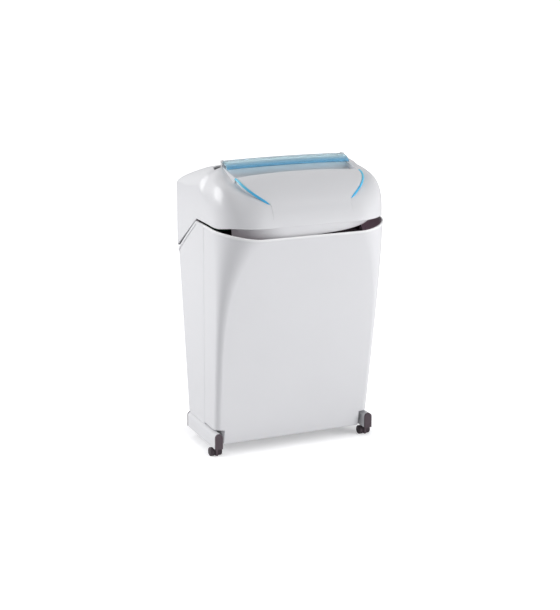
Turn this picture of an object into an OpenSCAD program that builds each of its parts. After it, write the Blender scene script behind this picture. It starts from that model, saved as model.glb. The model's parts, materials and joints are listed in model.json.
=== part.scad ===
// Free-standing office shredder: a cutting head on a two-part body with a pull-out bin,
// standing on two runners with low twin-wheel castors.
// X runs to the right seen from the front, Y to the back, Z up. The origin lies on the floor.

/* [Body shell] */
// Width of the body at its rim, without the bead
body_w = 363; // [352:1:376]
// How much narrower the body is at its foot than at its rim
foot_draw = 19; // [13:0.5:24]
// How far the rim lies in front of the origin
rim_reach = 142.5; // [136:0.5:148]
// How far the bin's foot lies in front of the origin
foot_reach = 40.5; // [34:0.5:48]
// How much of the front's lean is drawn into the late flare under the rim
flare = 38; // [28:1:46]
// How far the back of the head lies behind the origin
back_reach = 144; // [138:0.5:152]
// How far the back of the shell draws in towards its foot
back_taper = 26; // [18:1:30]
// Height of the shell from its foot to the apex of the rim
shell_h = 426.5; // [410:0.5:440]
// Distance of the rim's apex behind the origin
apex_y = 24.7; // [10:0.1:40]
// Drop of the rim from its apex down to the back
vee_drop = 77.5; // [50:0.5:100]
// Drop of the rim from its apex down to the front
rim_dip = 12.5; // [6:0.5:18]
// Wall of the moulded shells
wall = 3; // [2.4:0.1:3.4]
// Height of the bead along the rim
bead_h = 6.5; // [5:0.5:9]
// How far the bead stands proud of the shell
bead_out = 1.5; // [1:0.1:1.5]
// Corner radius of the body at its foot
foot_corner_r = 13; // [10:0.5:16]
// Growth of the front corner radius towards the rim
corner_growth = 67; // [50:1:75]
// Radius of the back corners
back_corner_r = 10; // [6:0.5:14]
// Seam between bin and housing, behind the origin at the shell's foot
seam_foot_y = 17; // [10:0.5:24]
// Seam between bin and housing, in front of the origin at the rim
seam_rim_y = 16; // [8:0.5:24]
// Gap between bin and housing along the seam
seam_gap = 0.8; // [0.5:0.1:1.2]

/* [Bin] */
// Wall of the bin
bin_wall = 2.6; // [2:0.1:3.2]
// Gap between the bin's foot and a runner
bin_foot_gap = 9; // [7:0.5:15]
// Gap between the bin and an upright
bin_side_gap = 3; // [2.5:0.1:7]
// Gap between the bin's back wall and the rear crossbar
bin_back_gap = 1.5; // [1:0.5:8]
// Height of the bin's back wall above its floor
bin_back_h = 372; // [340:1:376]
// How far the bin pulls out
bin_travel = 270; // [260:1:300]
// Clearance under the bin and to the parts that it slides past
slide_gap = 0.3; // [0.2:0.05:0.5]

/* [Runners] */
// Width of a runner
runner_w = 16; // [14:0.5:18]
// Height of a runner
runner_h = 32; // [30:0.5:36]
// Distance of a runner's front end in front of the origin
runner_front = 57; // [50:0.5:64]
// Distance of a runner's back end behind the origin
runner_back = 108; // [102:0.5:112]
// Thickness of a runner's end cap
cap_t = 4; // [3:0.5:6]
// Depth of the crossbar between the runners' back ends
bar_d = 14; // [12:0.5:16]
// Distance of the back castors from the middle
back_castor_x = 130; // [110:1:138]
// Thickness of the steel base plate
plate_t = 1.5; // [1:0.1:1.8]
// Setback of the base plate's front edge behind the bin's front foot
plate_setback = 26; // [15:1:40]
// Thickness of an upright
upright_t = 3; // [2.5:0.1:4]
// Depth of an upright, front to back
upright_d = 40; // [30:1:50]

/* [Castors] */
// Height of a castor from the floor to the runner
castor_h = 20; // [20:0.5:22]
// Diameter of a castor wheel
wheel_d = 18.4; // [17:0.1:18.6]
// Width of a castor wheel
wheel_w = 9.6; // [8:0.1:11]
// Thickness of the castor's web between the wheels
web_t = 5; // [4:0.1:6]
// Trail of the wheel axle behind the swivel
trail = 4; // [3:0.1:5]
// Diameter of the swivel stem
stem_d = 7; // [6:0.1:8]
// Radial play of running fits
play = 0.05; // [0.03:0.01:0.08]
// Distance of a front castor's swivel from the runner's end
castor_inset = 20; // [17:0.5:24]

/* [Head] */
// Height of the head's top at the hinge line above the rim's apex
hump_h = 110.5; // [104:0.5:118]
// Fall of the head's top from the hinge line to its back edge
deck_fall = 33.5; // [26:0.5:38]
// Fall of the dome from the hinge line to the feed lip
lip_fall = 27; // [20:0.5:32]
// Height of the front crease over the rim
grip_h = 20; // [16:0.5:24]
// Shadow gap between the head and the rim
head_gap = 4.3; // [3:0.1:6]
// Inset of the head's side from the rim
head_inset = 0.5; // [0.3:0.1:1.2]
// Corner radius of the head at its front
head_corner_r = 85; // [70:1:95]
// Width of the feed chute
chute_w = 268; // [262:1:272]
// Distance of the feed lip in front of the origin
lip_reach = 64.5; // [60:0.5:70]
// Rise of the raised front panel over the dome, at the lip
panel_rise = 19; // [12:0.5:22]
// Crown of the front panel
panel_crown = 6; // [3:0.5:8]
// Distance of the accent strips' lower ends behind the crease
strip_end = 15; // [12:0.5:28]
// Half width between the accent strips at their lower ends
strip_low_half = 85; // [75:1:95]
// Diameter of an accent strip
strip_d = 3.6; // [3:0.1:4.5]

/* [Flap] */
// Distance of the flap's hinge line behind the origin
hinge_y = 6; // [4:0.1:8]
// Depth of the flap, front to back
flap_d = 31.5; // [26:0.5:34]
// Drop of the flap's front edge under its top
flap_drop = 11.5; // [10:0.5:15]
// Thickness of the flap
flap_t = 3; // [2.4:0.1:3.6]
// Diameter of the flap's hinge pins
flap_pin_d = 4; // [3:0.1:4.4]

/* [Cutters] */
// Number of discs on one cutter shaft
disc_n = 20; // [18:1:20]
// Distance between neighbouring discs on one shaft
disc_pitch = 11.8; // [11.4:0.1:11.8]
// Thickness of a disc
disc_t = 5.2; // [4.6:0.1:5.3]
// Radius of a disc
disc_r = 16.5; // [16:0.1:17]
// Radius of the spacers between the discs
hub_r = 12; // [10:0.1:12.2]
// Distance between the two cutter shafts
shaft_gap = 30; // [30:0.1:31]
// Diameter of a cutter shaft between the side plates
shaft_d = 14; // [13:0.1:16]
// Diameter of a cutter shaft's journals
journal_d = 12; // [10:0.1:12.6]
// Height of the cutter shafts over the rim's apex
cutter_rise = 21.5; // [18:0.5:25]
// Width of the feed slot, front to back
slot_t = 4.5; // [4.2:0.1:6]
// Thickness of the cutter side plates
side_t = 4; // [3:0.1:5]
// Face width of the synchronising gears
sync_w = 8; // [6:0.5:10]
// Face width of the driven gear
drive_w = 9; // [8:0.5:10]

/* [Drive] */
// Diameter of the motor's casing
motor_d = 64; // [58:0.5:66]
// Length of the motor's casing
motor_l = 120; // [100:1:130]
// Diameter of the motor's shaft
motor_shaft_d = 8; // [7:0.1:9]
// Length of the run capacitor's can
capacitor_l = 64; // [56:1:70]
// Diameter of the run capacitor's can
capacitor_d = 30; // [26:0.5:32]
// Diameter of the idler's axle
idler_pin_d = 8; // [7:0.1:9]
// Number of blades on the cooling fan
fan_blades = 9; // [7:1:11]

/* [Hidden] */
$fn = 48;

// Colours of the plastics and metals
shell_c = [0.89, 0.89, 0.9];
dark_c = [0.33, 0.29, 0.32];
black_c = [0.12, 0.11, 0.12];
blue_c = [0.45, 0.75, 0.9];
steel_c = [0.7, 0.71, 0.73];
bronze_c = [0.7, 0.5, 0.28];
gear_c = [0.88, 0.86, 0.8];
board_c = [0.1, 0.4, 0.25];

// Levels
foot_z = castor_h + runner_h;
apex_z = foot_z + shell_h;
rim_front_z = apex_z - rim_dip;
rim_back_z = apex_z - vee_drop;
bin_z = castor_h + 2.5;
crease_z = rim_front_z + grip_h;
hump_z = apex_z + hump_h;
lip_z = hump_z - lip_fall + panel_rise;
tray_t = 2;
tray_z = apex_z - 35;
cutter_z = apex_z + cutter_rise;

// Plan of the body
rim_half = body_w / 2;
foot_half = (body_w - foot_draw) / 2;
runner_x = foot_half - 3;
upright_x = runner_x - 4;
housing_back_y = back_reach - 1.5;
bin_foot_half = runner_x - runner_w / 2 - bin_foot_gap;
bin_body_half = upright_x - upright_t / 2 - bin_side_gap;
bin_back_y = runner_back - bar_d - bin_back_gap;
strip_run = rim_reach - lip_reach - strip_end;
dome_lip_y = -lip_reach;

// Parameters of the surfaces, each as a function of height
function lean_t(z) = max(0, (z - bin_z) / (rim_front_z - bin_z));
function late(z) = pow(lean_t(z), 5);
function half_w(z) = foot_half + (rim_half - foot_half) * (z - foot_z) / shell_h;
function front_y(z) = -foot_reach - (rim_reach - foot_reach - flare) * lean_t(z) - flare * late(z);
function back_y(z) = housing_back_y - back_taper * (rim_back_z - z) / (rim_back_z - foot_z);
function corner_r(z) = foot_corner_r + corner_growth * late(z);
function seam_y(z) = seam_foot_y - (seam_foot_y + seam_rim_y) * (z - foot_z) / shell_h;

// Height of the rim over the plan, with its apex at the sides and its long fall to the back
rim_ease = 35;
function rim_z(y) = y > apex_y
    ? max(rim_back_z, apex_z - vee_drop * (y - apex_y) / (housing_back_y - apex_y))
    : rim_front_z + rim_dip * (1 - exp(-(y + rim_reach) / rim_ease));

// Quarter arc from angle a to angle b in n steps
function arc(cx, cy, r, a, b, n) = [for (i = [0:n]) [cx + r * cos(a + (b - a) * i / n),
    cy + r * sin(a + (b - a) * i / n)]];

// Mirrored half outline: the given left half, front to back, then its mirror image back to front
function both_sides(half) = concat(half, [for (i = [len(half) - 1:-1:0]) [-half[i][0], half[i][1]]]);

// Left half of the front, from just beside the middle round the corner to the seam
function front_half(z, t, side_n) =
    let (w = half_w(z) - t, y0 = front_y(z) + t, r = max(2, corner_r(z) - t),
        s = seam_y(z) - seam_gap / 2 - max(t, 0))
    concat([for (i = [0:4]) [-(i + 0.5) / 5 * (w - r) * 0.99, y0]],
        arc(-(w - r), y0 + r, r, 270, 180, 9),
        [for (i = [1:side_n]) [-w, y0 + r + (s - y0 - r) * i / side_n]]);

// Left half of the back, from the seam over the apex round the corner to just beside the middle
function back_half(z, t) =
    let (w = half_w(z) - t, y1 = back_y(z) - t, r = max(2, back_corner_r - t), s = seam_y(z) + seam_gap / 2)
    concat([for (f = [0, 0.5]) [-w, s + (apex_y - s) * f]],
        [for (f = [0, 0.25, 0.5, 0.75]) [-w, apex_y + (y1 - r - apex_y) * f]],
        arc(-(w - r), y1 - r, r, 180, 90, 5),
        [for (f = [0.75, 0.5, 0.25, 0.02]) [-(w - r) * f, y1]]);

// Faces of a grid of rows by columns whose points start at index o, open in both directions
function grid_faces(rows, cols, o, flip) = [for (r = [0:rows - 2], c = [0:cols - 2], k = [0, 1])
    let (a = o + r * cols + c, b = a + 1, d = a + cols, e = d + 1,
        f = k == 0 ? [a, b, e] : [a, e, d])
    flip ? [f[2], f[1], f[0]] : f];

// Faces between two open rows of indices
function strip_faces(p, q, flip) = [for (i = [0:len(p) - 2], k = [0, 1])
    let (f = k == 0 ? [p[i], p[i + 1], q[i + 1]] : [p[i], q[i + 1], q[i]])
    flip ? [f[2], f[1], f[0]] : f];

// Wall between an outer and an inner grid of the same size, closed on all four edges
module walled(outer, inner) {
    rows = len(outer);
    cols = len(outer[0]);
    n = rows * cols;
    pts = concat([for (r = outer) for (p = r) p], [for (r = inner) for (p = r) p]);
    bottom = [for (c = [0:cols - 1]) c];
    top = [for (c = [0:cols - 1]) (rows - 1) * cols + c];
    first = [for (r = [0:rows - 1]) r * cols];
    last = [for (r = [0:rows - 1]) r * cols + cols - 1];
    polyhedron(points = pts, faces = concat(
        grid_faces(rows, cols, 0, false),
        grid_faces(rows, cols, n, true),
        strip_faces(bottom, [for (i = bottom) i + n], true),
        strip_faces(top, [for (i = top) i + n], false),
        strip_faces(first, [for (i = first) i + n], false),
        strip_faces(last, [for (i = last) i + n], true)), convexity = 8);
}

// Solid lofted through closed rings that run from the middle of the front by the left to the back.
// Both ends are capped from side to side: the straight front and back as one face each.
module lofted(rings) {
    n = len(rings[0]);
    m = len(rings);
    half = n / 2;
    pts = [for (r = rings) for (p = r) p];
    sides = [for (r = [0:m - 2], c = [0:n - 1], k = [0, 1])
        let (a = r * n + c, b = r * n + (c + 1) % n, d = a + n, e = b + n)
        k == 0 ? [a, b, e] : [a, e, d]];
    ends = concat([concat([for (i = [n - 7:n - 1]) i], [for (i = [0:6]) i])],
        [[for (i = [half - 5:half + 4]) i]],
        [for (i = [6:half - 6], k = [0, 1]) k == 0 ? [i, i + 1, n - 2 - i] : [i, n - 2 - i, n - 1 - i]]);
    low = [for (f = ends) [for (i = [len(f) - 1:-1:0]) f[i]]];
    high = [for (f = ends) [for (i = f) i + (m - 1) * n]];
    polyhedron(points = pts, faces = concat(sides, low, high), convexity = 8);
}

// Rectangle with rounded corners, centred
module rounded_rect(w, d, r) {
    square([w - 2 * r, d], center = true);
    square([w, d - 2 * r], center = true);
    for (x = [-1, 1], y = [-1, 1])
        translate([x * (w / 2 - r), y * (d / 2 - r)])
            circle(r);
}

// Cylinder along X, from its left end
module rod_x(x0, x1, r, y, z) {
    translate([x0, y, z])
        rotate([0, 90, 0])
            cylinder(h = x1 - x0, r = r);
}

// Rear housing: U-shaped shell behind the seam with a V-shaped rim and a bead along it
function housing_rows() = [0, 0.15, 0.3, 0.45, 0.6, 0.75, 0.9, 1];
function housing_grid(t, out) = let (
        top = [for (p = back_half(apex_z, 0)) rim_z(p[1])],
        body = [for (f = housing_rows())
            [for (c = [0:len(top) - 1]) let (z = foot_z + (top[c] - bead_h - 1 - foot_z) * f)
                concat(back_half(z, t)[c], z)]],
        bead = [for (d = [0, bead_h])
            [for (c = [0:len(top) - 1]) let (z = top[c] - bead_h + d)
                concat(back_half(z, t - out)[c], z)]])
    concat(body, bead);

// A grid of the left half joined to its mirror image, running from the left seam to the right one
function mirrored_grid(g) = [for (row = g) concat(row,
    [for (i = [len(row) - 1:-1:0]) [-row[i][0], row[i][1], row[i][2]]])];

module rear_housing() {
    color(shell_c)
        walled(mirrored_grid(housing_grid(0, bead_out)), mirrored_grid(housing_grid(wall, 0)));
}

// Bin: one tub with a wide flared front before the seam, stepping in behind it
bin_side_n = 3;
bin_slope = 46;
function bin_half(z, t, narrow) =
    let (front = front_half(z, t, bin_side_n), s = seam_y(z) - seam_gap / 2 - t,
        in_half = (narrow ? bin_foot_half : bin_body_half) - t,
        y1 = bin_back_y - t, r = 8)
    concat(
        [for (p = front) narrow ? [max(p[0], -in_half), p[1]] : p],
        [[-in_half, s + (narrow ? 1 : 0)], [-in_half, s + bin_slope]],
        arc(-(in_half - r), y1 - r, r, 180, 90, 3),
        [for (f = [0.8, 0.5, 0.2]) [-(in_half - r) * f, y1]]);
function bin_top(c, front_n) = c < front_n
    ? rim_z(front_half(rim_front_z, 0, bin_side_n)[c][1])
    : c == front_n ? tray_z - 4 : bin_z + bin_back_h;
function bin_ring(f, z0, t, narrow, out) =
    let (front_n = len(front_half(foot_z, 0, bin_side_n)), n = len(bin_half(foot_z, 0, false)))
    [for (c = [0:n - 1])
        let (top = bin_top(c, front_n), low = top - bead_h,
            z = f > 1 ? low + bead_h * (f - 1) : z0 + (low - (out > 0 ? 0 : 1) - z0) * f,
            tt = c < front_n ? t - out : t)
        concat(bin_half(z, tt, narrow)[c], z)];
function whole_ring(h) = concat(h, [for (i = [len(h) - 1:-1:0]) [-h[i][0], h[i][1], h[i][2]]]);
bin_fs = [0, 0.15, 0.3, 0.45, 0.6, 0.7, 0.8, 0.87, 0.94, 1];
// Shoulder of the bin over the runners, clear of their tops
bin_step_z = foot_z + 2.5;

module waste_bin() {
    outer = concat(
        [bin_ring(0, bin_z, 0, true, 0)],
        [bin_ring(0, bin_step_z, 0, true, 0)],
        [for (f = bin_fs) bin_ring(f, bin_step_z + 1.5, 0, false, 0)],
        [for (f = [1, 2]) bin_ring(f, bin_step_z, 0, false, bead_out)]);
    inner = concat(
        [bin_ring(2, bin_step_z, bin_wall, false, 0)],
        [for (i = [len(bin_fs) - 1:-1:0]) bin_ring(bin_fs[i], bin_step_z + bin_wall + 1.5, bin_wall, false, 0)],
        [bin_ring(0, bin_step_z + bin_wall, bin_wall, true, 0)],
        [bin_ring(0, bin_z + bin_wall, bin_wall, true, 0)]);
    color(shell_c)
        lofted([for (h = concat(outer, inner)) whole_ring(h)]);
}

// Head: base outline, upper outline and the profile between them
head_half = rim_half - head_inset;
top_half = head_half - 46;
top_corner_r = 27;
dome_n = 1.88;
corner_n = 3.1;
side_n = 1.65;
deck_n = 1.4;

function deck_top(y) = y < hinge_y ? hump_z - lip_fall * (hinge_y - y) / (hinge_y + lip_reach)
    : hump_z - deck_fall * pow((y - hinge_y) / (back_reach - hinge_y), deck_n);
function ease(t) = let (c = min(1, max(0, t))) c * c * (3 - 2 * c);

// Height where the side wall turns into the shoulder
shoulder_h = 39.5;
shoulder_rise = 20;
function shoulder_z(y) = crease_z + 2
    + (deck_top(max(y, hinge_y - 16)) - shoulder_h + shoulder_rise * ease((y - 60) / 80) - crease_z - 2)
    * ease((y + rim_reach - 50) / 120);

// Power of the shoulder's section: the dome's in front, fullest at the front corners, least at the sides
function shoulder_n(y) = y < -60 ? dome_n + (corner_n - dome_n) * ease((y + rim_reach) / 60)
    : side_n + (corner_n - side_n) * ease(-y / 57);

// Lower edge of the head's wall over the plan
function head_low(y) = let (k = ease((-y - 70) / 50))
    (rim_z(max(y, -rim_reach)) + head_gap) * (1 - k) + crease_z * k;

// Stations of the head's left half along its side
head_ys = concat([-30, -12], [for (i = [0:6]) hinge_y + (back_reach - 10 - hinge_y) * i / 6]);

// Left half of the base outline and of the top outline, from the middle of the front to that of the back
function base_half(t) = let (r = head_corner_r - t, w = head_half - t, y0 = -rim_reach + t, y1 = back_reach - t)
    concat([for (i = [0:4]) [-(i + 0.5) / 5 * (w - r) * 0.98, y0]],
        arc(-(w - r), y0 + r, r, 270, 180, 10),
        [for (y = head_ys) [-w, y]],
        arc(-(w - 6), y1 - 6, 6, 180, 90, 3),
        [for (f = [0.8, 0.5, 0.2]) [-(w - 6) * f, y1]]);
function top_half_line(t) = let (r = top_corner_r - t, w = top_half - t, y0 = dome_lip_y + t, y1 = back_reach - 3)
    concat([for (i = [0:4]) [-(i + 0.5) / 5 * (w - r) * 0.98, y0]],
        arc(-(w - r), y0 + r, r, 270, 180, 10),
        [for (i = [0:len(head_ys) - 1]) [-w, max(head_ys[i], y0 + r + 1 + i)]],
        arc(-(w - 2), y1 - 2, 2, 180, 90, 3),
        [for (f = [0.8, 0.5, 0.2]) [-(w - 2) * f, y1]]);
head_angles = [0, 13, 26, 39, 52, 64, 77, 90];
function head_ring(a, t) = let (b = base_half(t), p = top_half_line(t))
    [for (i = [0:len(b) - 1])
        let (n = shoulder_n(b[i][1]),
            c = pow(cos(a), 2 / n), s = pow(sin(a), 2 / n),
            z0 = shoulder_z(b[i][1]), z1 = deck_top(p[i][1]) - t)
        [p[i][0] + (b[i][0] - p[i][0]) * c, p[i][1] + (b[i][1] - p[i][1]) * c, z0 + (z1 - z0) * s]];
function head_edge_ring(t) = [for (q = base_half(t)) [q[0], q[1], head_low(q[1])]];

// Raised front panel: a crowned surface from the feed lip down to the crease, narrowing downwards
panel_n = 1.68;
panel_draw = 3.2;
panel_run = rim_reach - lip_reach;
panel_top_half = chute_w / 2 - 3;
panel_end = 0.98;
// Stations along the panel, closer together towards the strips' lower ends, then on to the crease
strip_steps = 8;
strip_share = strip_run / panel_run;
strip_stations = [for (i = [0:strip_steps]) strip_share * (1 - pow(1 - i / strip_steps, 1.5))];
panel_steps = concat(strip_stations, [for (f = [0.35, 0.7, 1]) strip_share + (panel_end - strip_share) * f]);
function panel_y(f) = dome_lip_y - panel_run * f;
function panel_half(y) = panel_top_half
    - (panel_top_half - strip_low_half) * pow(min(1, max(0, (dome_lip_y - y) / strip_run)), panel_draw);
function panel_z(x, y) = let (f = min(1, (dome_lip_y - y) / panel_run))
    crease_z + (lip_z - crease_z) * pow(max(0, 1 - pow(f, panel_n)), 1 / panel_n)
    - panel_crown * pow(x / (chute_w / 2), 2) * (1 - f);

// Fascia: the raised panel as a channel whose sides stand in a window of the cover
function fascia_point(c, f, t, low) = let (y = panel_y(f), x = c * (panel_half(y) - t))
    [x, y + t * f, low ? panel_z(x, y) - 5 - 14 * (1 - f) : panel_z(x, y) - t * sqrt(1 - f * f)];
function fascia_grid(t) = [for (f = panel_steps) concat([fascia_point(-1, f, t, true)],
    [for (c = [-1, -0.75, -0.5, -0.25, 0, 0.25, 0.5, 0.75, 1]) fascia_point(c, f, t, false)],
    [fascia_point(1, f, t, true)])];
module front_fascia() {
    color(shell_c)
        walled(fascia_grid(0), fascia_grid(wall));
}
module fascia_window() {
    edge = [for (f = panel_steps) [panel_half(panel_y(f)), panel_y(f)]];
    translate([0, 0, crease_z + 7])
        linear_extrude(200)
            polygon(concat(edge, [for (i = [len(edge) - 1:-1:0]) [-edge[i][0], edge[i][1]]]));
}

// Window in the back of the head for the rear panel
window_w = 300;
window_h = 118;
window_z = rim_back_z + 16;

module head_cover() {
    na = len(head_angles);
    color(shell_c)
        difference() {
            lofted([for (h = concat([for (i = [na - 1:-1:0]) head_ring(head_angles[i], wall)],
                [head_edge_ring(wall), head_edge_ring(0)], [for (a = head_angles) head_ring(a, 0)]))
                whole_ring(h)]);
            fascia_window();
            chute_cut();
            translate([-window_w / 2, back_reach - 20, window_z])
                cube([window_w, 40, window_h]);
            switch_cut();
        }
}

// Opening in the hump over the feed chute, with a pocket for the flap's hinge at each end
chute_half = chute_w / 2;
chute_back_y = hinge_y - 5;
pocket_w = 16;
module chute_cut() {
    translate([-chute_half, dome_lip_y - 0.01, crease_z + 20])
        cube([chute_w, chute_back_y - dome_lip_y + 0.01, 200]);
    for (s = [-1, 1])
        translate([s * (chute_half + 4) - pocket_w / 2 - 4, chute_back_y - 1, crease_z + 60])
            cube([pocket_w + 8, 12, 200]);
}

module rear_panel() {
    slots = 11;
    color(shell_c)
        difference() {
            translate([-window_w / 2, back_reach - wall, window_z])
                cube([window_w, wall - 0.5, window_h]);
            for (i = [0:slots - 1])
                translate([20 + i * 11, back_reach - 10, window_z + 28])
                    cube([5, 20, 62]);
            inlet_cut();
        }
}

// Recessed skirt under the front crease, with strongly rounded ends and a flange to the cover. Its
// lower edge rises to the right, where the photograph shows the bin's dark inside below it
skirt_in = 7;
skirt_h = 24;
skirt_flat = 55;
skirt_lean = 0.12;
skirt_cut = 0.62;
skirt_cut_x = -12;
skirt_r = head_half - skirt_in - skirt_flat;
function front_line(w, r, y0) = let (half = concat([for (i = [0:3]) [-(i + 0.5) / 4 * (w - r) * 0.98, y0]],
        arc(-(w - r), y0 + r, r, 270, 216, 6)), n = len(half))
    concat([for (i = [0:n - 1]) [-half[n - 1 - i][0], half[n - 1 - i][1]]], half);
function skirt_left(x) = 1 - skirt_cut * max(0, x - skirt_cut_x) / (head_half - skirt_cut_x);
function skirt_row(t, z) = let (q = skirt_in + t - min(0, z) * skirt_lean)
    [for (p = front_line(head_half - q, skirt_r - t, -rim_reach + q))
        [p[0], p[1], crease_z + z * (z < 0 ? skirt_left(p[0]) : 1)]];
function cover_row(z) = [for (p = front_line(head_half - wall, head_corner_r - wall, -rim_reach + wall))
    [p[0], p[1], crease_z + z]];
module front_skirt() {
    color(shell_c)
        walled([skirt_row(0, -skirt_h), skirt_row(0, -skirt_h / 2), skirt_row(0, 0.5),
            cover_row(0.5), cover_row(2)],
            [skirt_row(wall, -skirt_h), skirt_row(wall, -skirt_h / 2), skirt_row(wall, 0.5),
            skirt_row(wall, 2), skirt_row(0.5, 2)]);
}

// Feed chute: a ramp that falls forward to the slot, two end walls and a throat down to the cutters
lip_t = 1.5;
slot_y = dome_lip_y + lip_t + slot_t / 2;
slot_back_y = slot_y + slot_t / 2;
ramp_top_z = hump_z - 3;
ramp_low_z = lip_z - 21;
throat_z = cutter_z + disc_r + 4;
throat_w = disc_n * disc_pitch;
throat_top = cutter_z + 45;
ear_t = 5.5;
ear_x = chute_half - ear_t;
ear_half = 4.5;
// Profile given in Y and Z, drawn out along X
module profile_x(pts, x0, x1) {
    translate([x1, 0, 0])
        rotate([90, 0, -90])
            linear_extrude(x1 - x0)
                polygon([for (p = pts) [-p[0], p[1]]]);
}
module chute_liner() {
    narrow = throat_w / 2 - 0.5;
    color(shell_c)
        difference() {
            union() {
                profile_x([[slot_back_y, throat_top], [slot_back_y, ramp_low_z], [chute_back_y, ramp_top_z],
                    [chute_back_y, ramp_top_z - wall * 1.4], [slot_back_y + wall, ramp_low_z - wall * 1.2],
                    [slot_back_y + wall, throat_top]], -chute_half, chute_half);
                translate([-narrow, slot_back_y, throat_z])
                    cube([2 * narrow, wall, throat_top - throat_z + 0.01]);
                translate([-chute_half, dome_lip_y, throat_top])
                    cube([chute_w, lip_t, ramp_low_z + 8 - throat_top]);
                translate([-narrow, dome_lip_y, throat_z])
                    cube([2 * narrow, lip_t, throat_top - throat_z + 0.01]);
                for (s = [-1, 1]) {
                    profile_x([[dome_lip_y, throat_top], [dome_lip_y, lip_z - panel_crown - 0.4],
                        [chute_back_y, deck_top(chute_back_y) - 0.4], [chute_back_y, throat_top]],
                        s * (chute_half - 1.5) - 1.5, s * (chute_half - 1.5) + 1.5);
                    translate([s * (chute_half - ear_t / 2) - ear_t / 2, hinge_y - 14, ramp_top_z - 25])
                        cube([ear_t, 14 + ear_half, 22]);
                    translate([s * (chute_half - ear_t / 2) - ear_t / 2, hinge_y - ear_half, ramp_top_z - 5])
                        cube([ear_t, 2 * ear_half, hinge_z + 4 - ramp_top_z + 5]);
                }
            }
            for (s = [-1, 1])
                rod_x(s * ear_x - 7, s * ear_x + 7, flap_pin_d / 2 + play, hinge_y, hinge_z);
        }
}

// Accent strips along the sides of the fascia
strip_setback = 1;
function strip_row(s, z0) = [for (i = [0:strip_steps])
    let (y = panel_y(strip_stations[i]) - (i == 0 ? strip_setback : 0), x = panel_half(y), z = panel_z(x, y) - z0)
    s < 0 ? [[-x - strip_d, y, z - 0.4], [-x, y, z]] : [[x, y, z], [x + strip_d, y, z - 0.4]]];
module accent_strip_left() {
    color(blue_c)
        walled(strip_row(-1, 0.2), strip_row(-1, 3.6));
}
module accent_strip_right() {
    color(blue_c)
        walled(strip_row(1, 0.2), strip_row(1, 3.6));
}

// Safety flap: a hooded blade along the hinge, closed by a cheek at each end
flap_half = chute_half - 1.6;
flap_top_z = hump_z + 11;
hinge_z = flap_top_z - 4.5;
flap_profile = [[4, -4.2], [4, -1], [2, 0], [-flap_d * 0.35, -0.4], [-flap_d * 0.62, -2],
    [-flap_d * 0.84, -5.5], [-flap_d, -flap_drop], [-flap_d + flap_t, -flap_drop],
    [-flap_d * 0.84 + flap_t * 0.8, -5.5 - flap_t * 0.5], [-flap_d * 0.6, -2 - flap_t],
    [-flap_d * 0.35, -0.4 - flap_t], [-3, -flap_t - 0.6], [-3, -flap_t - 5], [3.6, -flap_t - 5]];
flap_cheek = [[4, -1], [2, 0], [-flap_d * 0.35, -0.4], [-flap_d * 0.62, -2], [-flap_d * 0.84, -5.5],
    [-flap_d, -flap_drop], [-flap_d * 0.6, -10], [-1, -8], [3.6, -8]];
function at_flap(pts) = [for (p = pts) [hinge_y + p[0], flap_top_z + p[1]]];
module safety_flap() {
    color(blue_c, 0.6)
        difference() {
            union() {
                profile_x(at_flap(flap_profile), -flap_half, flap_half);
                for (s = [-1, 1])
                    profile_x(at_flap(flap_cheek), s * (flap_half - 1.25) - 1.25, s * (flap_half - 1.25) + 1.25);
            }
            for (s = [-1, 1]) {
                rod_x(s * (ear_x - 6) - 6.1, s * (ear_x - 6) + 6.1, flap_pin_d / 2, hinge_y, hinge_z);
                translate([s * (ear_x + 4.6) - 5, hinge_y - 7.5, hinge_z - 20])
                    cube([10, 30, 40]);
            }
        }
}

// Hinge pins of the flap, pressed into its ends and turning in the ears of the chute liner
module flap_pins() {
    color(steel_c)
        for (s = [-1, 1])
            rod_x(s * (ear_x - 2.5) - 7.5, s * (ear_x - 2.5) + 7.5, flap_pin_d / 2, hinge_y, hinge_z);
}

// Profile of a runner, its upper side half round
module runner_outline(grow) {
    r = runner_w / 2;
    translate([-r, 0])
        square([runner_w, runner_h - r]);
    translate([0, runner_h - r])
        circle(r);
}
front_swivel_y = -runner_front + castor_inset;
bar_y = runner_back - bar_d / 2;
socket_depth = 22;
module runner(s) {
    color(shell_c)
        difference() {
            translate([s * runner_x, runner_back - cap_t, castor_h])
                rotate([90, 0, 0])
                    linear_extrude(runner_front + runner_back - 2 * cap_t)
                        runner_outline();
            translate([s * runner_x, front_swivel_y, castor_h - 1])
                cylinder(h = socket_depth + 1, r = stem_d / 2 + play);
            upright_blank(s, 0);
        }
}
module runner_left() {
    runner(-1);
}
module runner_right() {
    runner(1);
}
module runner_end_caps() {
    color(dark_c)
        for (s = [-1, 1], y = [-runner_front + cap_t, runner_back])
            translate([s * runner_x, y, castor_h])
                rotate([90, 0, 0])
                    linear_extrude(cap_t)
                        runner_outline();
}

// Crossbar between the runners' back ends, with the sockets of the back castors
plate_half = runner_x - runner_w / 2;
module rear_crossbar() {
    color(dark_c)
        difference() {
            translate([-plate_half, runner_back - bar_d, castor_h])
                cube([2 * plate_half, bar_d, socket_depth + 4]);
            for (s = [-1, 1])
                translate([s * back_castor_x, bar_y, castor_h - 1])
                    cylinder(h = socket_depth + 1, r = stem_d / 2 + play);
        }
}

// Steel base plate that the bin slides on, with a flange up each runner
module base_plate() {
    y0 = -foot_reach + plate_setback;
    d = runner_back - bar_d - y0;
    z = bin_z - slide_gap - plate_t;
    color(steel_c)
        difference() {
            union() {
                translate([-plate_half, y0, z])
                    cube([2 * plate_half, d, plate_t]);
                for (s = [-1, 1])
                    translate([s * (plate_half - plate_t / 2) - plate_t / 2, y0, z])
                        cube([plate_t, d, 18]);
            }
            for (x = [-1, 1], y = [0.25, 0.75])
                translate([x * plate_half * 0.5, y0 + d * y, z - 1])
                    cylinder(h = plate_t + 2, r = 18);
        }
}

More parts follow.
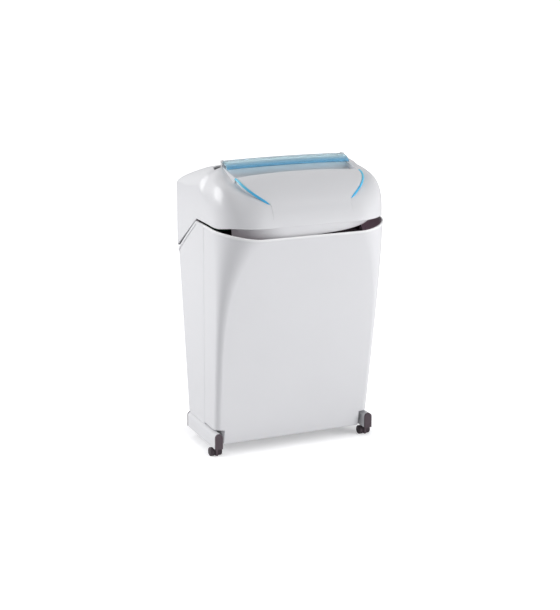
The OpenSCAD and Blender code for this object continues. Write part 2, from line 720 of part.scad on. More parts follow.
// Uprights: flat bars let into the runners, with a foot turned in under the chassis
upright_y = runner_back - castor_inset - stem_d - upright_d / 2;
module upright_blank(s, grow) {
    translate([s * upright_x - upright_t / 2 - grow, upright_y - upright_d / 2 - grow, castor_h + 6 - grow])
        cube([upright_t + 2 * grow, upright_d + 2 * grow, tray_z - castor_h - 6]);
}
module upright(s) {
    color(steel_c)
        union() {
            difference() {
                upright_blank(s, 0);
                translate([-200, upright_y - upright_d, tray_z - 0.01])
                    cube([400, 2 * upright_d, 20]);
            }
            translate([s * (upright_x - 10) - 10, upright_y - upright_d / 2, tray_z - upright_t])
                cube([20, upright_d, upright_t]);
        }
}
module upright_left() {
    upright(-1);
}
module upright_right() {
    upright(1);
}

// Clips between the uprights and the housing's sides
clip_z = [foot_z + 40, rim_back_z - 30];
module housing_clips() {
    x0 = upright_x + upright_t / 2;
    color(dark_c)
        for (s = [-1, 1], z = clip_z)
            translate([0, upright_y + 12, 0])
                rotate([90, 0, 0])
                    linear_extrude(24)
                        polygon([for (p = [[x0, z], [half_w(z) - wall, z],
                            [half_w(z + 20) - wall, z + 20], [x0, z + 20]]) [s * p[0], p[1]]]);
}

// Chassis tray: carries the cutting block, the drive and the covers
tray_half = rim_half - wall - 5;
tray_narrow = bin_body_half - 10.5;
tray_front = rim_reach - 30.5;
tray_back = back_reach - wall - 3;
wide_y = 5;
side_in = throat_w / 2;
module chassis_tray() {
    tab_h = 22;
    color(steel_c)
        difference() {
            union() {
                translate([0, (wide_y - tray_front) / 2 + 20, tray_z])
                    linear_extrude(tray_t)
                        rounded_rect(2 * tray_narrow, tray_front + wide_y + 40, 30);
                translate([-tray_half, wide_y, tray_z])
                    cube([2 * tray_half, tray_back - wide_y, tray_t]);
                for (s = [-1, 1]) {
                    translate([s * (tray_half - 1) - 1, wide_y, tray_z])
                        cube([2, tray_back - wide_y - 12, crease_z + 2 - tray_z]);
                    for (y = [wide_y + 12, tray_back - 44])
                        translate([s * (head_half - wall + tray_half) / 2 - (head_half - wall - tray_half) / 2,
                            y, crease_z - 16])
                            cube([head_half - wall - tray_half, 16, 14]);
                }
            }
            translate([-side_in + 2, slot_y - 26, tray_z - 1])
                cube([2 * side_in - 4, 52, tray_t + 2]);
        }
}

// Cutting block
front_axis = slot_y - shaft_gap / 2;
rear_axis = slot_y + shaft_gap / 2;
comb_y = shaft_gap / 2 + disc_r + 1;
plate_y = comb_y + 8;
block_z = tray_z + tray_t;
block_h = cutter_z + 40 - block_z;
bush_r = 9;
tie_r = 4;
tie_at = [[-32, block_z + 12], [32, block_z + 12], [-32, cutter_z + 32]];
module cutter_side(s) {
    x = s * (side_in + 1 + side_t / 2) - side_t / 2;
    color(steel_c)
        difference() {
            translate([x, slot_y - plate_y, block_z])
                cube([side_t, 2 * plate_y, block_h]);
            for (y = [front_axis, rear_axis])
                rod_x(x - 1, x + side_t + 1, bush_r, y, cutter_z);
            for (p = tie_at)
                rod_x(x - 1, x + side_t + 1, tie_r, slot_y + p[0], p[1]);
        }
}
module cutter_side_left() {
    cutter_side(-1);
}
module cutter_side_right() {
    cutter_side(1);
}
module tie_rods() {
    x = side_in + 1 + side_t;
    color(steel_c)
        for (p = tie_at) {
            rod_x(-x - 3, x + 3, tie_r, slot_y + p[0], p[1]);
            for (s = [-1, 1])
                rod_x(s * (x + 2) - 2, s * (x + 2) + 2, tie_r + 2.5, slot_y + p[0], p[1]);
        }
}
// Stripper combs: fingers that reach between the discs of their own shaft
module stripper_comb(s, axis, phase) {
    back = slot_y + s * comb_y;
    color(dark_c)
        difference() {
            union() {
                translate([-side_in - 1, min(back, back + s * 6), cutter_z - 14])
                    cube([2 * side_in + 2, 6, 28]);
                for (i = [0:disc_n - 1])
                    translate([-side_in + (i + 0.5 + phase) * disc_pitch + disc_pitch / 2 - 2.2,
                        min(axis, back), cutter_z - 14])
                        cube([4.4, abs(back - axis), 28]);
            }
            rod_x(-side_in - 2, side_in + 2, hub_r + 0.6, axis, cutter_z);
        }
}
module stripper_comb_front() {
    stripper_comb(-1, front_axis, -0.25);
}
module stripper_comb_rear() {
    stripper_comb(1, rear_axis, -0.75);
}
// Flanged bushes of the cutter shafts
module shaft_bushes() {
    color(bronze_c)
        for (s = [-1, 1], y = [front_axis, rear_axis]) {
            x = s * (side_in + 1);
            difference() {
                union() {
                    rod_x(min(x, x + s * side_t), max(x, x + s * side_t), bush_r, y, cutter_z);
                    rod_x(min(x + s * side_t, x + s * (side_t + 1.5)),
                        max(x + s * side_t, x + s * (side_t + 1.5)), bush_r + 2.5, y, cutter_z);
                }
                rod_x(x - 10, x + 10, journal_d / 2 + play, y, cutter_z);
            }
        }
}
sync_x = -(side_in + 1 + side_t + 2.5);
drive_x = side_in + 1 + side_t + 2.5;
module cutter_shaft(axis, x1) {
    color(steel_c) {
        rod_x(-side_in + 0.2, side_in - 0.2, shaft_d / 2, axis, cutter_z);
        rod_x(sync_x - sync_w - 1, x1, journal_d / 2, axis, cutter_z);
    }
}
module cutter_shaft_front() {
    cutter_shaft(front_axis, drive_x - 0.6);
}
module cutter_shaft_rear() {
    cutter_shaft(rear_axis, drive_x + drive_w + 0.6);
}
// Stack of discs and spacers as one turned comb profile round its shaft
module disc_stack(axis, phase) {
    x0 = function (i) -side_in + (i + 0.5 + phase) * disc_pitch - disc_t / 2;
    steps = [for (i = [0:disc_n - 1]) each [[hub_r, x0(i)], [disc_r, x0(i)],
        [disc_r, x0(i) + disc_t], [hub_r, x0(i) + disc_t]]];
    color(steel_c)
        translate([0, axis, cutter_z])
            rotate([0, 90, 0])
                rotate_extrude()
                    polygon(concat([[shaft_d / 2 + 0.02, -side_in + 0.2], [hub_r, -side_in + 0.2]], steps,
                        [[hub_r, side_in - 0.2], [shaft_d / 2 + 0.02, side_in - 0.2]]));
}
module cutter_discs_front() {
    disc_stack(front_axis, -0.25);
}
module cutter_discs_rear() {
    disc_stack(rear_axis, 0.25);
}

// Involute spur gear: outline of module m with z teeth, thinned by a backlash
pressure = 20;
function involute(rb, r) = let (t = sqrt(max(0, r * r / (rb * rb) - 1)) * 180 / PI) t - atan(t * PI / 180);
function gear_outline(m, z, thin) =
    let (rp = m * z / 2, rb = rp * cos(pressure), ra = rp + 0.85 * m, rf = rp - 1.15 * m,
        half = 90 / z - thin / (2 * rp) * 180 / PI + involute(rb, rp),
        rs = [max(rb, rf + 0.1), (max(rb, rf) + ra) / 2, ra],
        at = function (r, a) [r * cos(a), r * sin(a)])
    [for (i = [0:z - 1]) let (c = 360 * i / z) each concat(
        [at(rf, c - half)], [for (r = rs) at(r, c - half + involute(rb, r))],
        [for (k = [2:-1:0]) at(rs[k], c + half - involute(rb, rs[k]))], [at(rf, c + half)])];
module gear(m, z, w, bore, x0, y, zz, turn, thin = 0.25) {
    translate([x0, y, zz])
        rotate([0, 90, 0])
            difference() {
                rotate([0, 0, turn])
                    linear_extrude(w)
                        polygon(gear_outline(m, z, thin));
                translate([0, 0, -1])
                    cylinder(h = w + 2, r = bore);
            }
}
sync_m = shaft_gap / 20;
drive_m = 1.5;
drive_teeth = 36;
idler_small = 14;
motor_m = 1.25;
idler_large = 42;
pinion_teeth = 14;
idler_y = rear_axis + drive_m * (drive_teeth + idler_small) / 2;
motor_y = idler_y + motor_m * (idler_large + pinion_teeth) / 2;
module sync_gear_front() {
    color(gear_c)
        gear(sync_m, 20, sync_w, journal_d / 2, sync_x - sync_w, front_axis, cutter_z, 9);
}
module sync_gear_rear() {
    color(gear_c)
        gear(sync_m, 20, sync_w, journal_d / 2, sync_x - sync_w, rear_axis, cutter_z, 0);
}
module drive_gear() {
    color(gear_c)
        gear(drive_m, drive_teeth, drive_w, journal_d / 2, drive_x, rear_axis, cutter_z, 0);
}
// Axle of the idler, in a foot that stands on the tray
idler_x = drive_x;
idler_wide = drive_w + 2 + 8;
module idler_axle() {
    color(steel_c) {
        rod_x(idler_x - 6.5, idler_x + idler_wide + 4, idler_pin_d / 2, idler_y, cutter_z);
        translate([idler_x - 6.5, idler_y - 9, block_z])
            cube([4, 18, cutter_z + 8 - block_z]);
    }
}
module idler_gear() {
    color(gear_c)
        union() {
            gear(drive_m, idler_small, drive_w + 2.5, idler_pin_d / 2 + play, idler_x, idler_y, cutter_z, 0);
            gear(motor_m, idler_large, 8, idler_pin_d / 2 + play, idler_x + drive_w + 2, idler_y, cutter_z,
                180 / idler_large);
        }
}
pinion_x = idler_x + drive_w + 2;
motor_x1 = drive_x - 10;
bracket_t = 3;
fan_d = motor_d - 8;
module motor_pinion() {
    color(gear_c)
        gear(motor_m, pinion_teeth, 9, motor_shaft_d / 2, pinion_x - 0.5, motor_y, cutter_z, 0);
}
module motor_shaft() {
    color(steel_c)
        rod_x(motor_x1 - motor_l - 16, pinion_x + 10, motor_shaft_d / 2, motor_y, cutter_z);
}
module motor_casing() {
    color(black_c)
        difference() {
            union() {
                rod_x(motor_x1 - motor_l, motor_x1, motor_d / 2, motor_y, cutter_z);
                rod_x(motor_x1 - 0.1, motor_x1 + bracket_t + 1, 11, motor_y, cutter_z);
                for (s = [-1, 1])
                    translate([motor_x1 - motor_l / 2 - 30, motor_y + s * 16 - 3, block_z])
                        cube([60, 6, cutter_z - block_z - 20]);
            }
            rod_x(motor_x1 - motor_l - 1, motor_x1 + 20, motor_shaft_d / 2 + play, motor_y, cutter_z);
        }
}
module motor_bracket() {
    color(steel_c)
        difference() {
            translate([motor_x1, motor_y - 32, block_z])
                cube([bracket_t, 64, cutter_z + 30 - block_z]);
            rod_x(motor_x1 - 1, motor_x1 + bracket_t + 1, 11, motor_y, cutter_z);
        }
}
module cooling_fan() {
    x = motor_x1 - motor_l - 13;
    color(black_c)
        difference() {
            union() {
                rod_x(x, x + 10, 10, motor_y, cutter_z);
                for (i = [0:fan_blades - 1])
                    translate([x, motor_y, cutter_z])
                        rotate([360 / fan_blades * i, 0, 0])
                            translate([2, 8, -1])
                                rotate([0, 0, 25])
                                    cube([1.6, fan_d / 2 - 10, 12]);
            }
            rod_x(x - 1, x + 11, motor_shaft_d / 2, motor_y, cutter_z);
        }
}
module run_capacitor() {
    y = motor_y + motor_d / 2 + capacitor_d / 2 + 9;
    color([0.75, 0.75, 0.77]) {
        rod_x(20, 20 + capacitor_l, capacitor_d / 2, y, block_z + capacitor_d / 2);
        for (x = [24, 10 + capacitor_l])
            translate([x, y - 12, block_z])
                cube([6, 24, 6]);
    }
}

// Control board on four posts, with its relay, transformer and terminals
board_at = [-162, 18];
board_size = [78, 92];
board_z = block_z + 8;
module control_board() {
    color(board_c)
        translate([board_at[0], board_at[1], board_z])
            cube([board_size[0], board_size[1], 1.6]);
    color(black_c)
        for (b = [[8, 8, 24, 20, 22], [40, 22, 20, 16, 16], [12, 48, 24, 12, 10], [50, 50, 14, 26, 12]])
            translate([board_at[0] + b[0], board_at[1] + b[1], board_z + 1.6])
                cube([b[2], b[3], b[4]]);
    color(steel_c)
        for (x = [5, board_size[0] - 5], y = [5, board_size[1] - 5])
            translate([board_at[0] + x, board_at[1] + y, block_z])
                cylinder(h = board_z - block_z, r = 3);
}
// Paper sensor behind the throat's back wall
module feed_sensor() {
    color(black_c)
        translate([-9, slot_back_y + wall, throat_z + 6])
            cube([18, 9, 10]);
}
// Switch beside the flap's right ear, on the outside of the chute's end wall
module flap_switch() {
    color(black_c)
        translate([chute_half, hinge_y - 16, ramp_top_z - 27])
            cube([8, 14, 18]);
}
// Switch behind the bin, on the inside of the housing's back, with a sprung plunger
plunger_z = bin_z + bin_back_h - 22;
plunger_r = 3;
plunger_tip = bin_back_y + slide_gap;
switch_front = plunger_tip + 6;
module bin_switch() {
    z0 = plunger_z - 9;
    z1 = plunger_z + 9;
    color(black_c)
        difference() {
            profile_x([[switch_front, z0], [back_y(z0) - wall, z0], [back_y(z1) - wall, z1],
                [switch_front, z1]], -14, 14);
            translate([0, switch_front + 14, plunger_z])
                rotate([90, 0, 0])
                    cylinder(h = 20, r = plunger_r + play);
        }
}
module bin_plunger() {
    color(dark_c)
        translate([0, switch_front + 9, plunger_z])
            rotate([90, 0, 0])
                cylinder(h = switch_front + 9 - plunger_tip, r = plunger_r);
}

// Mode switch on the deck: a bezel and a rocker that tilts to three positions on a pin
switch_at = [96, back_reach - 52];
switch_w = 30;
switch_d = 18;
switch_z = deck_top(switch_at[1] - switch_d / 2 - 2.5) - 1.9;
rocker_r = 12.4;
rocker_z = switch_z - 8;
rocker_pin_r = 1.5;
module switch_cut() {
    translate([switch_at[0] - switch_w / 2, switch_at[1] - switch_d / 2, switch_z - 20])
        cube([switch_w, switch_d, 40]);
}
module pin_y(r, d) {
    translate([switch_at[0], switch_at[1] + d / 2, rocker_z])
        rotate([90, 0, 0])
            cylinder(h = d, r = r);
}
module mode_switch_bezel() {
    color(dark_c)
        union() {
            difference() {
                union() {
                    translate([switch_at[0] - switch_w / 2, switch_at[1] - switch_d / 2, switch_z - 18])
                        cube([switch_w, switch_d, 21.5]);
                    translate([switch_at[0], switch_at[1], switch_z + 2.2])
                        linear_extrude(1.3)
                            rounded_rect(switch_w + 5, switch_d + 5, 2);
                }
                translate([switch_at[0] - switch_w / 2 + 2, switch_at[1] - switch_d / 2 + 2, switch_z - 14])
                    cube([switch_w - 4, switch_d - 4, 40]);
            }
            pin_y(rocker_pin_r, switch_d - 2);
        }
}
module mode_switch_rocker() {
    w = switch_w - 5;
    d = switch_d - 5;
    color(blue_c)
        difference() {
            intersection() {
                pin_y(rocker_r, d);
                translate([switch_at[0] - w / 2, switch_at[1] - d / 2, rocker_z - 3])
                    cube([w, d, 20]);
            }
            pin_y(rocker_pin_r + play, switch_d);
        }
}

// Appliance inlet in the rear panel
inlet_at = [board_at[0] + 57, window_z + 60];
inlet_l = 30;
module inlet_cut() {
    translate([inlet_at[0] - 14, back_reach - 40, inlet_at[1] - 10.5])
        cube([28, 60, 21]);
}
module power_inlet() {
    color(black_c)
        union() {
            difference() {
                union() {
                    translate([inlet_at[0] - 14, back_reach - inlet_l, inlet_at[1] - 10.5])
                        cube([28, inlet_l - 0.2, 21]);
                    translate([inlet_at[0] - 20, back_reach - 0.5, inlet_at[1] - 13])
                        cube([40, 0.5, 26]);
                }
                translate([inlet_at[0] - 12, back_reach - 18, inlet_at[1] - 8])
                    cube([24, 30, 16]);
            }
            for (x = [-7, 0, 7])
                translate([inlet_at[0] + x - 1, back_reach - 19, inlet_at[1] + (x == 0 ? 1 : -3)])
                    cube([2, 16, 4]);
        }
}

// Leads from the inlet to the board and from the board to the motor
lead_r = 1.6;
lead_y = motor_y + (motor_d / 2 - 2) * sqrt(0.5);
lead_z = cutter_z - (motor_d / 2 - 2) * sqrt(0.5);
module lead(path) {
    for (i = [0:len(path) - 2]) {
        a = path[i];
        b = path[i + 1];
        d = b - a;
        l = norm(d);
        translate(a)
            rotate([0, acos(d[2] / l), atan2(d[1], d[0])])
                cylinder(h = l, r = lead_r, $fn = 24);
    }
    for (i = [1:len(path) - 2])
        translate(path[i])
            sphere(lead_r + 0.4, $fn = 24);
}
module wiring_loom() {
    block = board_z + 1.6;
    color(dark_c) {
        lead([[inlet_at[0], back_reach - inlet_l, inlet_at[1]], [inlet_at[0], board_at[1] + 63, inlet_at[1]],
            [inlet_at[0], board_at[1] + 63, block + 12]]);
        lead([[board_at[0] + 50, lead_y, block + 16], [board_at[0] + 50, lead_y, lead_z],
            [motor_x1 - motor_l, lead_y, lead_z]]);
    }
}

// Screws that hold the uprights to the tray
module chassis_screws() {
    color(steel_c)
        for (s = [-1, 1], y = [-1, 1])
            translate([s * (upright_x - 12), upright_y + y * (upright_d / 2 - 8), tray_z + tray_t])
                intersection() {
                    sphere(5, $fn = 32);
                    translate([-5, -5, 0])
                        cube([10, 10, 3]);
                }
}

// Castor: swivel plate and web with its stem, and a pair of wheels on one axle
axle_d = 4;
wheel_z = wheel_d / 2;
plate_gap = 0.3;
module castor(x, y) {
    color(dark_c)
        translate([x, y, 0])
            difference() {
                union() {
                    translate([0, 0, castor_h - plate_gap - 1])
                        cylinder(h = 1, r = 7.6);
                    translate([0, 0, castor_h - plate_gap - 0.5])
                        cylinder(h = socket_depth - 1, r = stem_d / 2);
                    translate([-web_t / 2, -7, 2])
                        cube([web_t, trail + 12, castor_h - plate_gap - 2.5]);
                }
                translate([-20, trail, wheel_z])
                    rotate([0, 90, 0])
                        cylinder(h = 40, r = axle_d / 2 + play);
            }
}
module wheel_pair(x, y) {
    side_gap = 0.4;
    color(black_c)
        translate([x, y + trail, wheel_z])
            rotate([0, 90, 0]) {
                for (k = [-1, 1])
                    translate([0, 0, k * (web_t / 2 + side_gap + wheel_w / 2)])
                        rotate_extrude()
                            polygon([[0, -wheel_w / 2], [wheel_d / 2 - 1.2, -wheel_w / 2],
                                [wheel_d / 2, -wheel_w / 2 + 1.2], [wheel_d / 2, wheel_w / 2 - 1.2],
                                [wheel_d / 2 - 1.2, wheel_w / 2], [0, wheel_w / 2]]);
                cylinder(h = web_t + 2 * side_gap + 1, r = axle_d / 2, center = true);
            }
}
module castor_front_left() {
    castor(-runner_x, front_swivel_y);
}
module castor_front_right() {
    castor(runner_x, front_swivel_y);
}
module castor_back_left() {
    castor(-back_castor_x, bar_y);
}
module castor_back_right() {
    castor(back_castor_x, bar_y);
}
module wheels_front_left() {
    wheel_pair(-runner_x, front_swivel_y);
}
module wheels_front_right() {
    wheel_pair(runner_x, front_swivel_y);
}
module wheels_back_left() {
    wheel_pair(-back_castor_x, bar_y);
}
module wheels_back_right() {
    wheel_pair(back_castor_x, bar_y);
}

runner_left();
runner_right();
runner_end_caps();
rear_crossbar();
base_plate();
upright_left();
upright_right();
rear_housing();
housing_clips();
chassis_tray();
head_cover();
front_fascia();
rear_panel();
front_skirt();
chute_liner();
accent_strip_left();
accent_strip_right();
safety_flap();
flap_pins();
waste_bin();
cutter_side_left();
cutter_side_right();
tie_rods();
stripper_comb_front();
stripper_comb_rear();
shaft_bushes();
cutter_shaft_front();
cutter_discs_front();
cutter_shaft_rear();
cutter_discs_rear();
sync_gear_front();
sync_gear_rear();
drive_gear();
idler_axle();
idler_gear();
motor_casing();
motor_bracket();
motor_shaft();
motor_pinion();
cooling_fan();
run_capacitor();
control_board();
feed_sensor();
flap_switch();
bin_switch();
bin_plunger();
mode_switch_bezel();
mode_switch_rocker();
power_inlet();
wiring_loom();
chassis_screws();
castor_front_left();
castor_front_right();
castor_back_left();
castor_back_right();
wheels_front_left();
wheels_front_right();
wheels_back_left();
wheels_back_right();
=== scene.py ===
"""Looks of the floor-standing shredder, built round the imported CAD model.

Lengths are written in millimetres and turned into metres where a mesh is made. X runs to the right
seen from the front, Y to the back and Z up, as in the CAD.
"""

import json
import math

import bmesh
import bpy
import numpy as np
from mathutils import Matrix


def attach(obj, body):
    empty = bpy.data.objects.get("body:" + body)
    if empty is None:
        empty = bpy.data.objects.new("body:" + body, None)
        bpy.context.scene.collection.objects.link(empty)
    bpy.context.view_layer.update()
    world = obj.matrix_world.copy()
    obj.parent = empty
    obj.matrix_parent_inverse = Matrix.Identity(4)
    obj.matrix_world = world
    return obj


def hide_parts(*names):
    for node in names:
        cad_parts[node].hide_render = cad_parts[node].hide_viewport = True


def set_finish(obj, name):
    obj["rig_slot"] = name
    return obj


MM = 0.001
PHOTO_W = 560

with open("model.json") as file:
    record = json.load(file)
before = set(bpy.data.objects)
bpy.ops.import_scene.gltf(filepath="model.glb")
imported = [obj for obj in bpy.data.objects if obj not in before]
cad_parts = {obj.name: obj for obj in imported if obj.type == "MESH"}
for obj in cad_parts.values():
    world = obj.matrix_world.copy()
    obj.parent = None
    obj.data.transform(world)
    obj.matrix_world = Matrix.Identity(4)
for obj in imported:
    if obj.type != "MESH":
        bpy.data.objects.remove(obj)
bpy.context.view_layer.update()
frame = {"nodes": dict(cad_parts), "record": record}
NODES = frame["nodes"]

# Sizes of the body, in mm

FOOT_Z = 52.0
APEX_Z = 478.5
RIM_FRONT_Z = 466.0
RIM_BACK_Z = 401.0
BIN_Z = 22.5
CREASE_Z = 486.0
CREASE_TOP = CREASE_Z + 2.0
RIM_HALF = 181.5
FOOT_HALF = 172.0
RIM_REACH = 142.5
FOOT_REACH = 40.5
FLARE = 38.0
HOUSING_BACK_Y = 142.5
BACK_REACH = 144.0
BACK_TAPER = 26.0
APEX_Y = 24.7
VEE_DROP = 77.5
RIM_DIP = 12.5
RIM_EASE = 35.0
WALL = 3.0
BEAD_H = 6.5
BEAD_OUT = 1.5
BEAD_LOW = BEAD_H + 0.4
BEAD_UP = BEAD_H - 0.3
BEAD_EDGE_R = 1.4
BRIM_EDGE_R = 1.0
FOOT_CORNER_R = 13.0
CORNER_GROWTH = 67.0
BACK_CORNER_R = 10.0
LEAST_CORNER_R = 2.0
SEAM_FOOT_Y = 17.0
SEAM_RIM_Y = 16.0
SEAM_GAP = 0.8

BIN_WALL = 2.6
BIN_FOOT_HALF = 152.0
BIN_BODY_HALF = 160.5
BIN_BACK_Y = 92.5
BIN_BACK_TOP = BIN_Z + 372.0
BIN_STEP_Z = FOOT_Z + 2.5
BIN_BODY_Z = BIN_STEP_Z + 1.5
BIN_SLOPE = 46.0
BIN_EDGE_R = 2.5
TUB_BACK_R = 8.0
TRAY_Z = APEX_Z - 35.0
BIN_SEAM_TOP = TRAY_Z - 4.0

HUMP_Z = 589.0
DECK_FALL = 33.5
DECK_N = 1.4
LIP_FALL = 27.0
LIP_Z = 581.0
LIP_Y = -64.5
HINGE_Y = 6.0
HEAD_GAP = 4.3
HEAD_HALF = 181.0
HEAD_CORNER_R = 85.0
HEAD_BACK_R = 6.0
HEAD_EDGE_R = 0.8
TOP_HALF = HEAD_HALF - 46.0
TOP_CORNER_R = 27.0
TOP_BACK_R = 2.0
TOP_BACK_IN = 3.0
DOME_N = 1.88
CORNER_N = 3.1
SIDE_N = 1.65
SHOULDER_H = 39.5
SHOULDER_RISE = 20.0
CHUTE_HALF = 134.0
CHUTE_BACK_Y = HINGE_Y - 5.0
PANEL_N = 1.68
PANEL_TOP_HALF = CHUTE_HALF - 3.0
PANEL_CROWN = 6.0
STRIP_RUN = 63.0
PANEL_DRAW = 3.2
STRIP_LOW_HALF = 85.0
STRIP_D = 4.8
STRIP_SINK = 1.9
WINDOW_HALF = 150.0
WINDOW_Z = RIM_BACK_Z + 16.0
WINDOW_H = 118.0
WINDOW_DEEP = 20.0
POCKET_IN = 8.0
POCKET_OUT = 16.0
POCKET_BACK_Y = CHUTE_BACK_Y + 11.0
ROCKER_HOLE = (81.0, 111.0, 83.0, 101.0, 530.0, 600.0)
ABOVE_HEAD = 700.0


def half_w(z):
    """Half width of the body at height z: grows evenly from foot to rim."""
    return FOOT_HALF + (RIM_HALF - FOOT_HALF) * (z - FOOT_Z) / (APEX_Z - FOOT_Z)


def late(z):
    """Fifth power of the height's share between the bin's foot and the rim."""
    return np.clip((z - BIN_Z) / (RIM_FRONT_Z - BIN_Z), 0, None) ** 5


def front_y(z):
    """Front face: an even lean forward plus the late flare under the rim."""
    share = np.clip((z - BIN_Z) / (RIM_FRONT_Z - BIN_Z), 0, None)
    return -FOOT_REACH - (RIM_REACH - FOOT_REACH - FLARE) * share - FLARE * late(z)


def corner_r(z):
    """Radius of the front corners, which open out with the flare."""
    return FOOT_CORNER_R + CORNER_GROWTH * late(z)


def back_y(z):
    """Back face: draws in evenly towards the foot."""
    return HOUSING_BACK_Y - BACK_TAPER * (RIM_BACK_Z - z) / (RIM_BACK_Z - FOOT_Z)


def seam_y(z):
    """Seam between bin and housing, leaning forward towards the rim."""
    return SEAM_FOOT_Y - (SEAM_FOOT_Y + SEAM_RIM_Y) * (z - FOOT_Z) / (APEX_Z - FOOT_Z)


def rim_z(y):
    """Height of the rim: an eased rise from the front to the apex, then a straight fall to the
    back."""
    rise = RIM_FRONT_Z + RIM_DIP * (1 - np.exp(-(y + RIM_REACH) / RIM_EASE))
    fall = np.maximum(RIM_BACK_Z, APEX_Z - VEE_DROP * (y - APEX_Y) / (HOUSING_BACK_Y - APEX_Y))
    return np.where(y > APEX_Y, fall, rise)


def ease(t):
    """Smooth step from 0 to 1."""
    c = np.clip(t, 0, 1)
    return c * c * (3 - 2 * c)


# Meshes

SHARP = math.radians(32)


def new_object(name, data):
    """Object in the scene for a mesh, a lamp or a camera."""
    obj = bpy.data.objects.new(name, data)
    bpy.context.scene.collection.objects.link(obj)
    return obj


def outward(obj):
    """Turns the faces of a closed mesh outwards."""
    bm = bmesh.new()
    bm.from_mesh(obj.data)
    bmesh.ops.recalc_face_normals(bm, faces=bm.faces)
    bm.to_mesh(obj.data)
    bm.free()
    return obj


def smooth(mesh):
    """Smooth shading but for the sharp edges."""
    mesh.shade_smooth()
    mesh.set_sharp_from_angle(angle=SHARP)


def surface(name, points, body, node, ring="row", caps=None, slot="shell_white"):
    """Closed mesh that stands for a CAD node, from a grid of points (rows, columns, 3) in mm: one
    quad between each four neighbours. Each row or each column is a closed ring, and the first and
    the last ring are filled by one face each, or by the caps given."""
    rows, cols = points.shape[:2]
    index = np.arange(rows * cols).reshape(rows, cols)
    first, last = (index[0, ::-1], index[-1]) if ring == "row" else (index[:, 0], index[::-1, -1])
    caps = [first.tolist(), last.tolist()] if caps is None else caps
    index = np.c_[index, index[:, 0]] if ring == "row" else np.r_[index, index[:1]]
    quads = np.stack([index[:-1, :-1], index[:-1, 1:], index[1:, 1:], index[1:, :-1]], -1)
    mesh = bpy.data.meshes.new(name)
    faces = quads.reshape(-1, 4).tolist() + caps
    mesh.from_pydata((points.reshape(-1, 3) * MM).tolist(), [], faces)
    mesh.validate()
    smooth(mesh)
    obj = new_object(name, mesh)
    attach(obj, body)
    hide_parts(node)
    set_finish(obj, slot)
    return outward(obj)


def mirrored(half):
    """Closed ring from its left half, which runs from the front's middle to the back's middle."""
    return np.concatenate([half, half[..., ::-1, :] * [-1, 1, 1]], -2)


def turn(a, b, n):
    """Cosine and sine at n + 1 even angles from a to b, in degrees."""
    t = np.radians(np.linspace(a, b, n + 1))
    return np.cos(t), np.sin(t)


def arc(cx, cy, r, a, b, n):
    """n + 1 points on a circle of radius r from angle a to b, in degrees."""
    c, s = turn(a, b, n)
    return np.stack([cx + r * c, cy + r * s], -1)


def line(x0, y0, x1, y1, n):
    """The n - 1 points that part a straight line into n even steps."""
    t = np.linspace(0, 1, n + 1)[1:-1]
    return np.stack([x0 + (x1 - x0) * t, y0 + (y1 - y0) * t], -1)


def quarter(n):
    """Rows of one minus the cosine and one minus the sine of n even angles from 0 to 90 degrees."""
    t = np.linspace(0, 1, n) * math.pi / 2
    return np.stack([1 - np.cos(t), 1 - np.sin(t)], -1)


def span(n, first=False, last=False):
    """Even steps of 1/n from 0 to 1, with or without the ends."""
    return np.linspace(0, 1, n + 1)[0 if first else 1 : None if last else -1]


def columns(*runs):
    """Fixed shares of an outline's columns, one array a share, from runs given one after the
    other."""
    return np.concatenate([np.stack(np.broadcast_arrays(*run), -1) for run in runs]).T


def cut(obj, *tools):
    """Takes tools, given as closed meshes, out of a closed mesh."""
    for tool in tools:
        m = obj.modifiers.new("cut", "BOOLEAN")
        m.operation = "DIFFERENCE"
        m.solver = "EXACT"
        m.object = tool
    bpy.context.view_layer.update()
    graph = bpy.context.evaluated_depsgraph_get()
    mesh = bpy.data.meshes.new_from_object(obj.evaluated_get(graph))
    obj.modifiers.clear()
    old = obj.data
    obj.data = mesh
    bpy.data.meshes.remove(old)
    for tool in tools:
        bpy.data.objects.remove(tool)
    smooth(mesh)


def prism(outline, z0, z1):
    """Upright prism over a polygon in X and Y, in mm, as a tool to cut with."""
    p = np.array(outline, float)
    n = len(p)
    i = np.arange(n)
    j = np.roll(i, -1)
    points = np.concatenate([np.c_[p, np.full(n, z)] for z in (z0, z1)]) * MM
    walls = np.stack([i, j, n + j, n + i], -1)
    mesh = bpy.data.meshes.new("tool")
    mesh.from_pydata(points.tolist(), [], [i[::-1].tolist(), (n + i).tolist(), *walls.tolist()])
    return outward(new_object("tool", mesh))


def box(x0, x1, y0, y1, z0, z1):
    """Box as a tool to cut with."""
    return prism([(x0, y0), (x1, y0), (x1, y1), (x0, y1)], z0, z1)


# Bin

# Shares of a column's place: the front's width, the corner's cosine and sine, the way to the seam
FRONT = columns(
    (span(14), 0.0, -1.0, 0.0),
    (1.0, *turn(270, 180, 26), 0.0),
    (1.0, -1.0, 0.0, span(8, last=True)),
)
FRONT_COLS = FRONT.shape[1]
# The same behind the seam, but for the last two: the seam's share of Y, and how far behind it
TUB_BACK = columns(
    (1.0, -1.0, 0.0, 1.0, np.array([0.5, BIN_SLOPE])),
    (1.0, *turn(180, 90, 6), 0.0, 0.0),
    (1 - span(6), 0.0, 1.0, 0.0, 0.0),
)
TUB_COLS = FRONT_COLS + TUB_BACK.shape[1]


def front_outline(z, inset):
    """Left half of the bin's front shell, each column at its own height z: X is the corner's centre
    times the first share plus the corner's radius times the second, and Y is the front face, plus
    the radius times one and the third share, plus the fourth share of the way on to the seam."""
    across, c, s, back = FRONT
    w, y0 = half_w(z) - inset, front_y(z) + inset
    r = np.maximum(LEAST_CORNER_R, corner_r(z) - inset)
    seam = seam_y(z) - SEAM_GAP / 2 - np.maximum(inset, 0)
    return np.stack([c * r - across * (w - r), y0 + r + s * r + back * (seam - y0 - r)], -1)


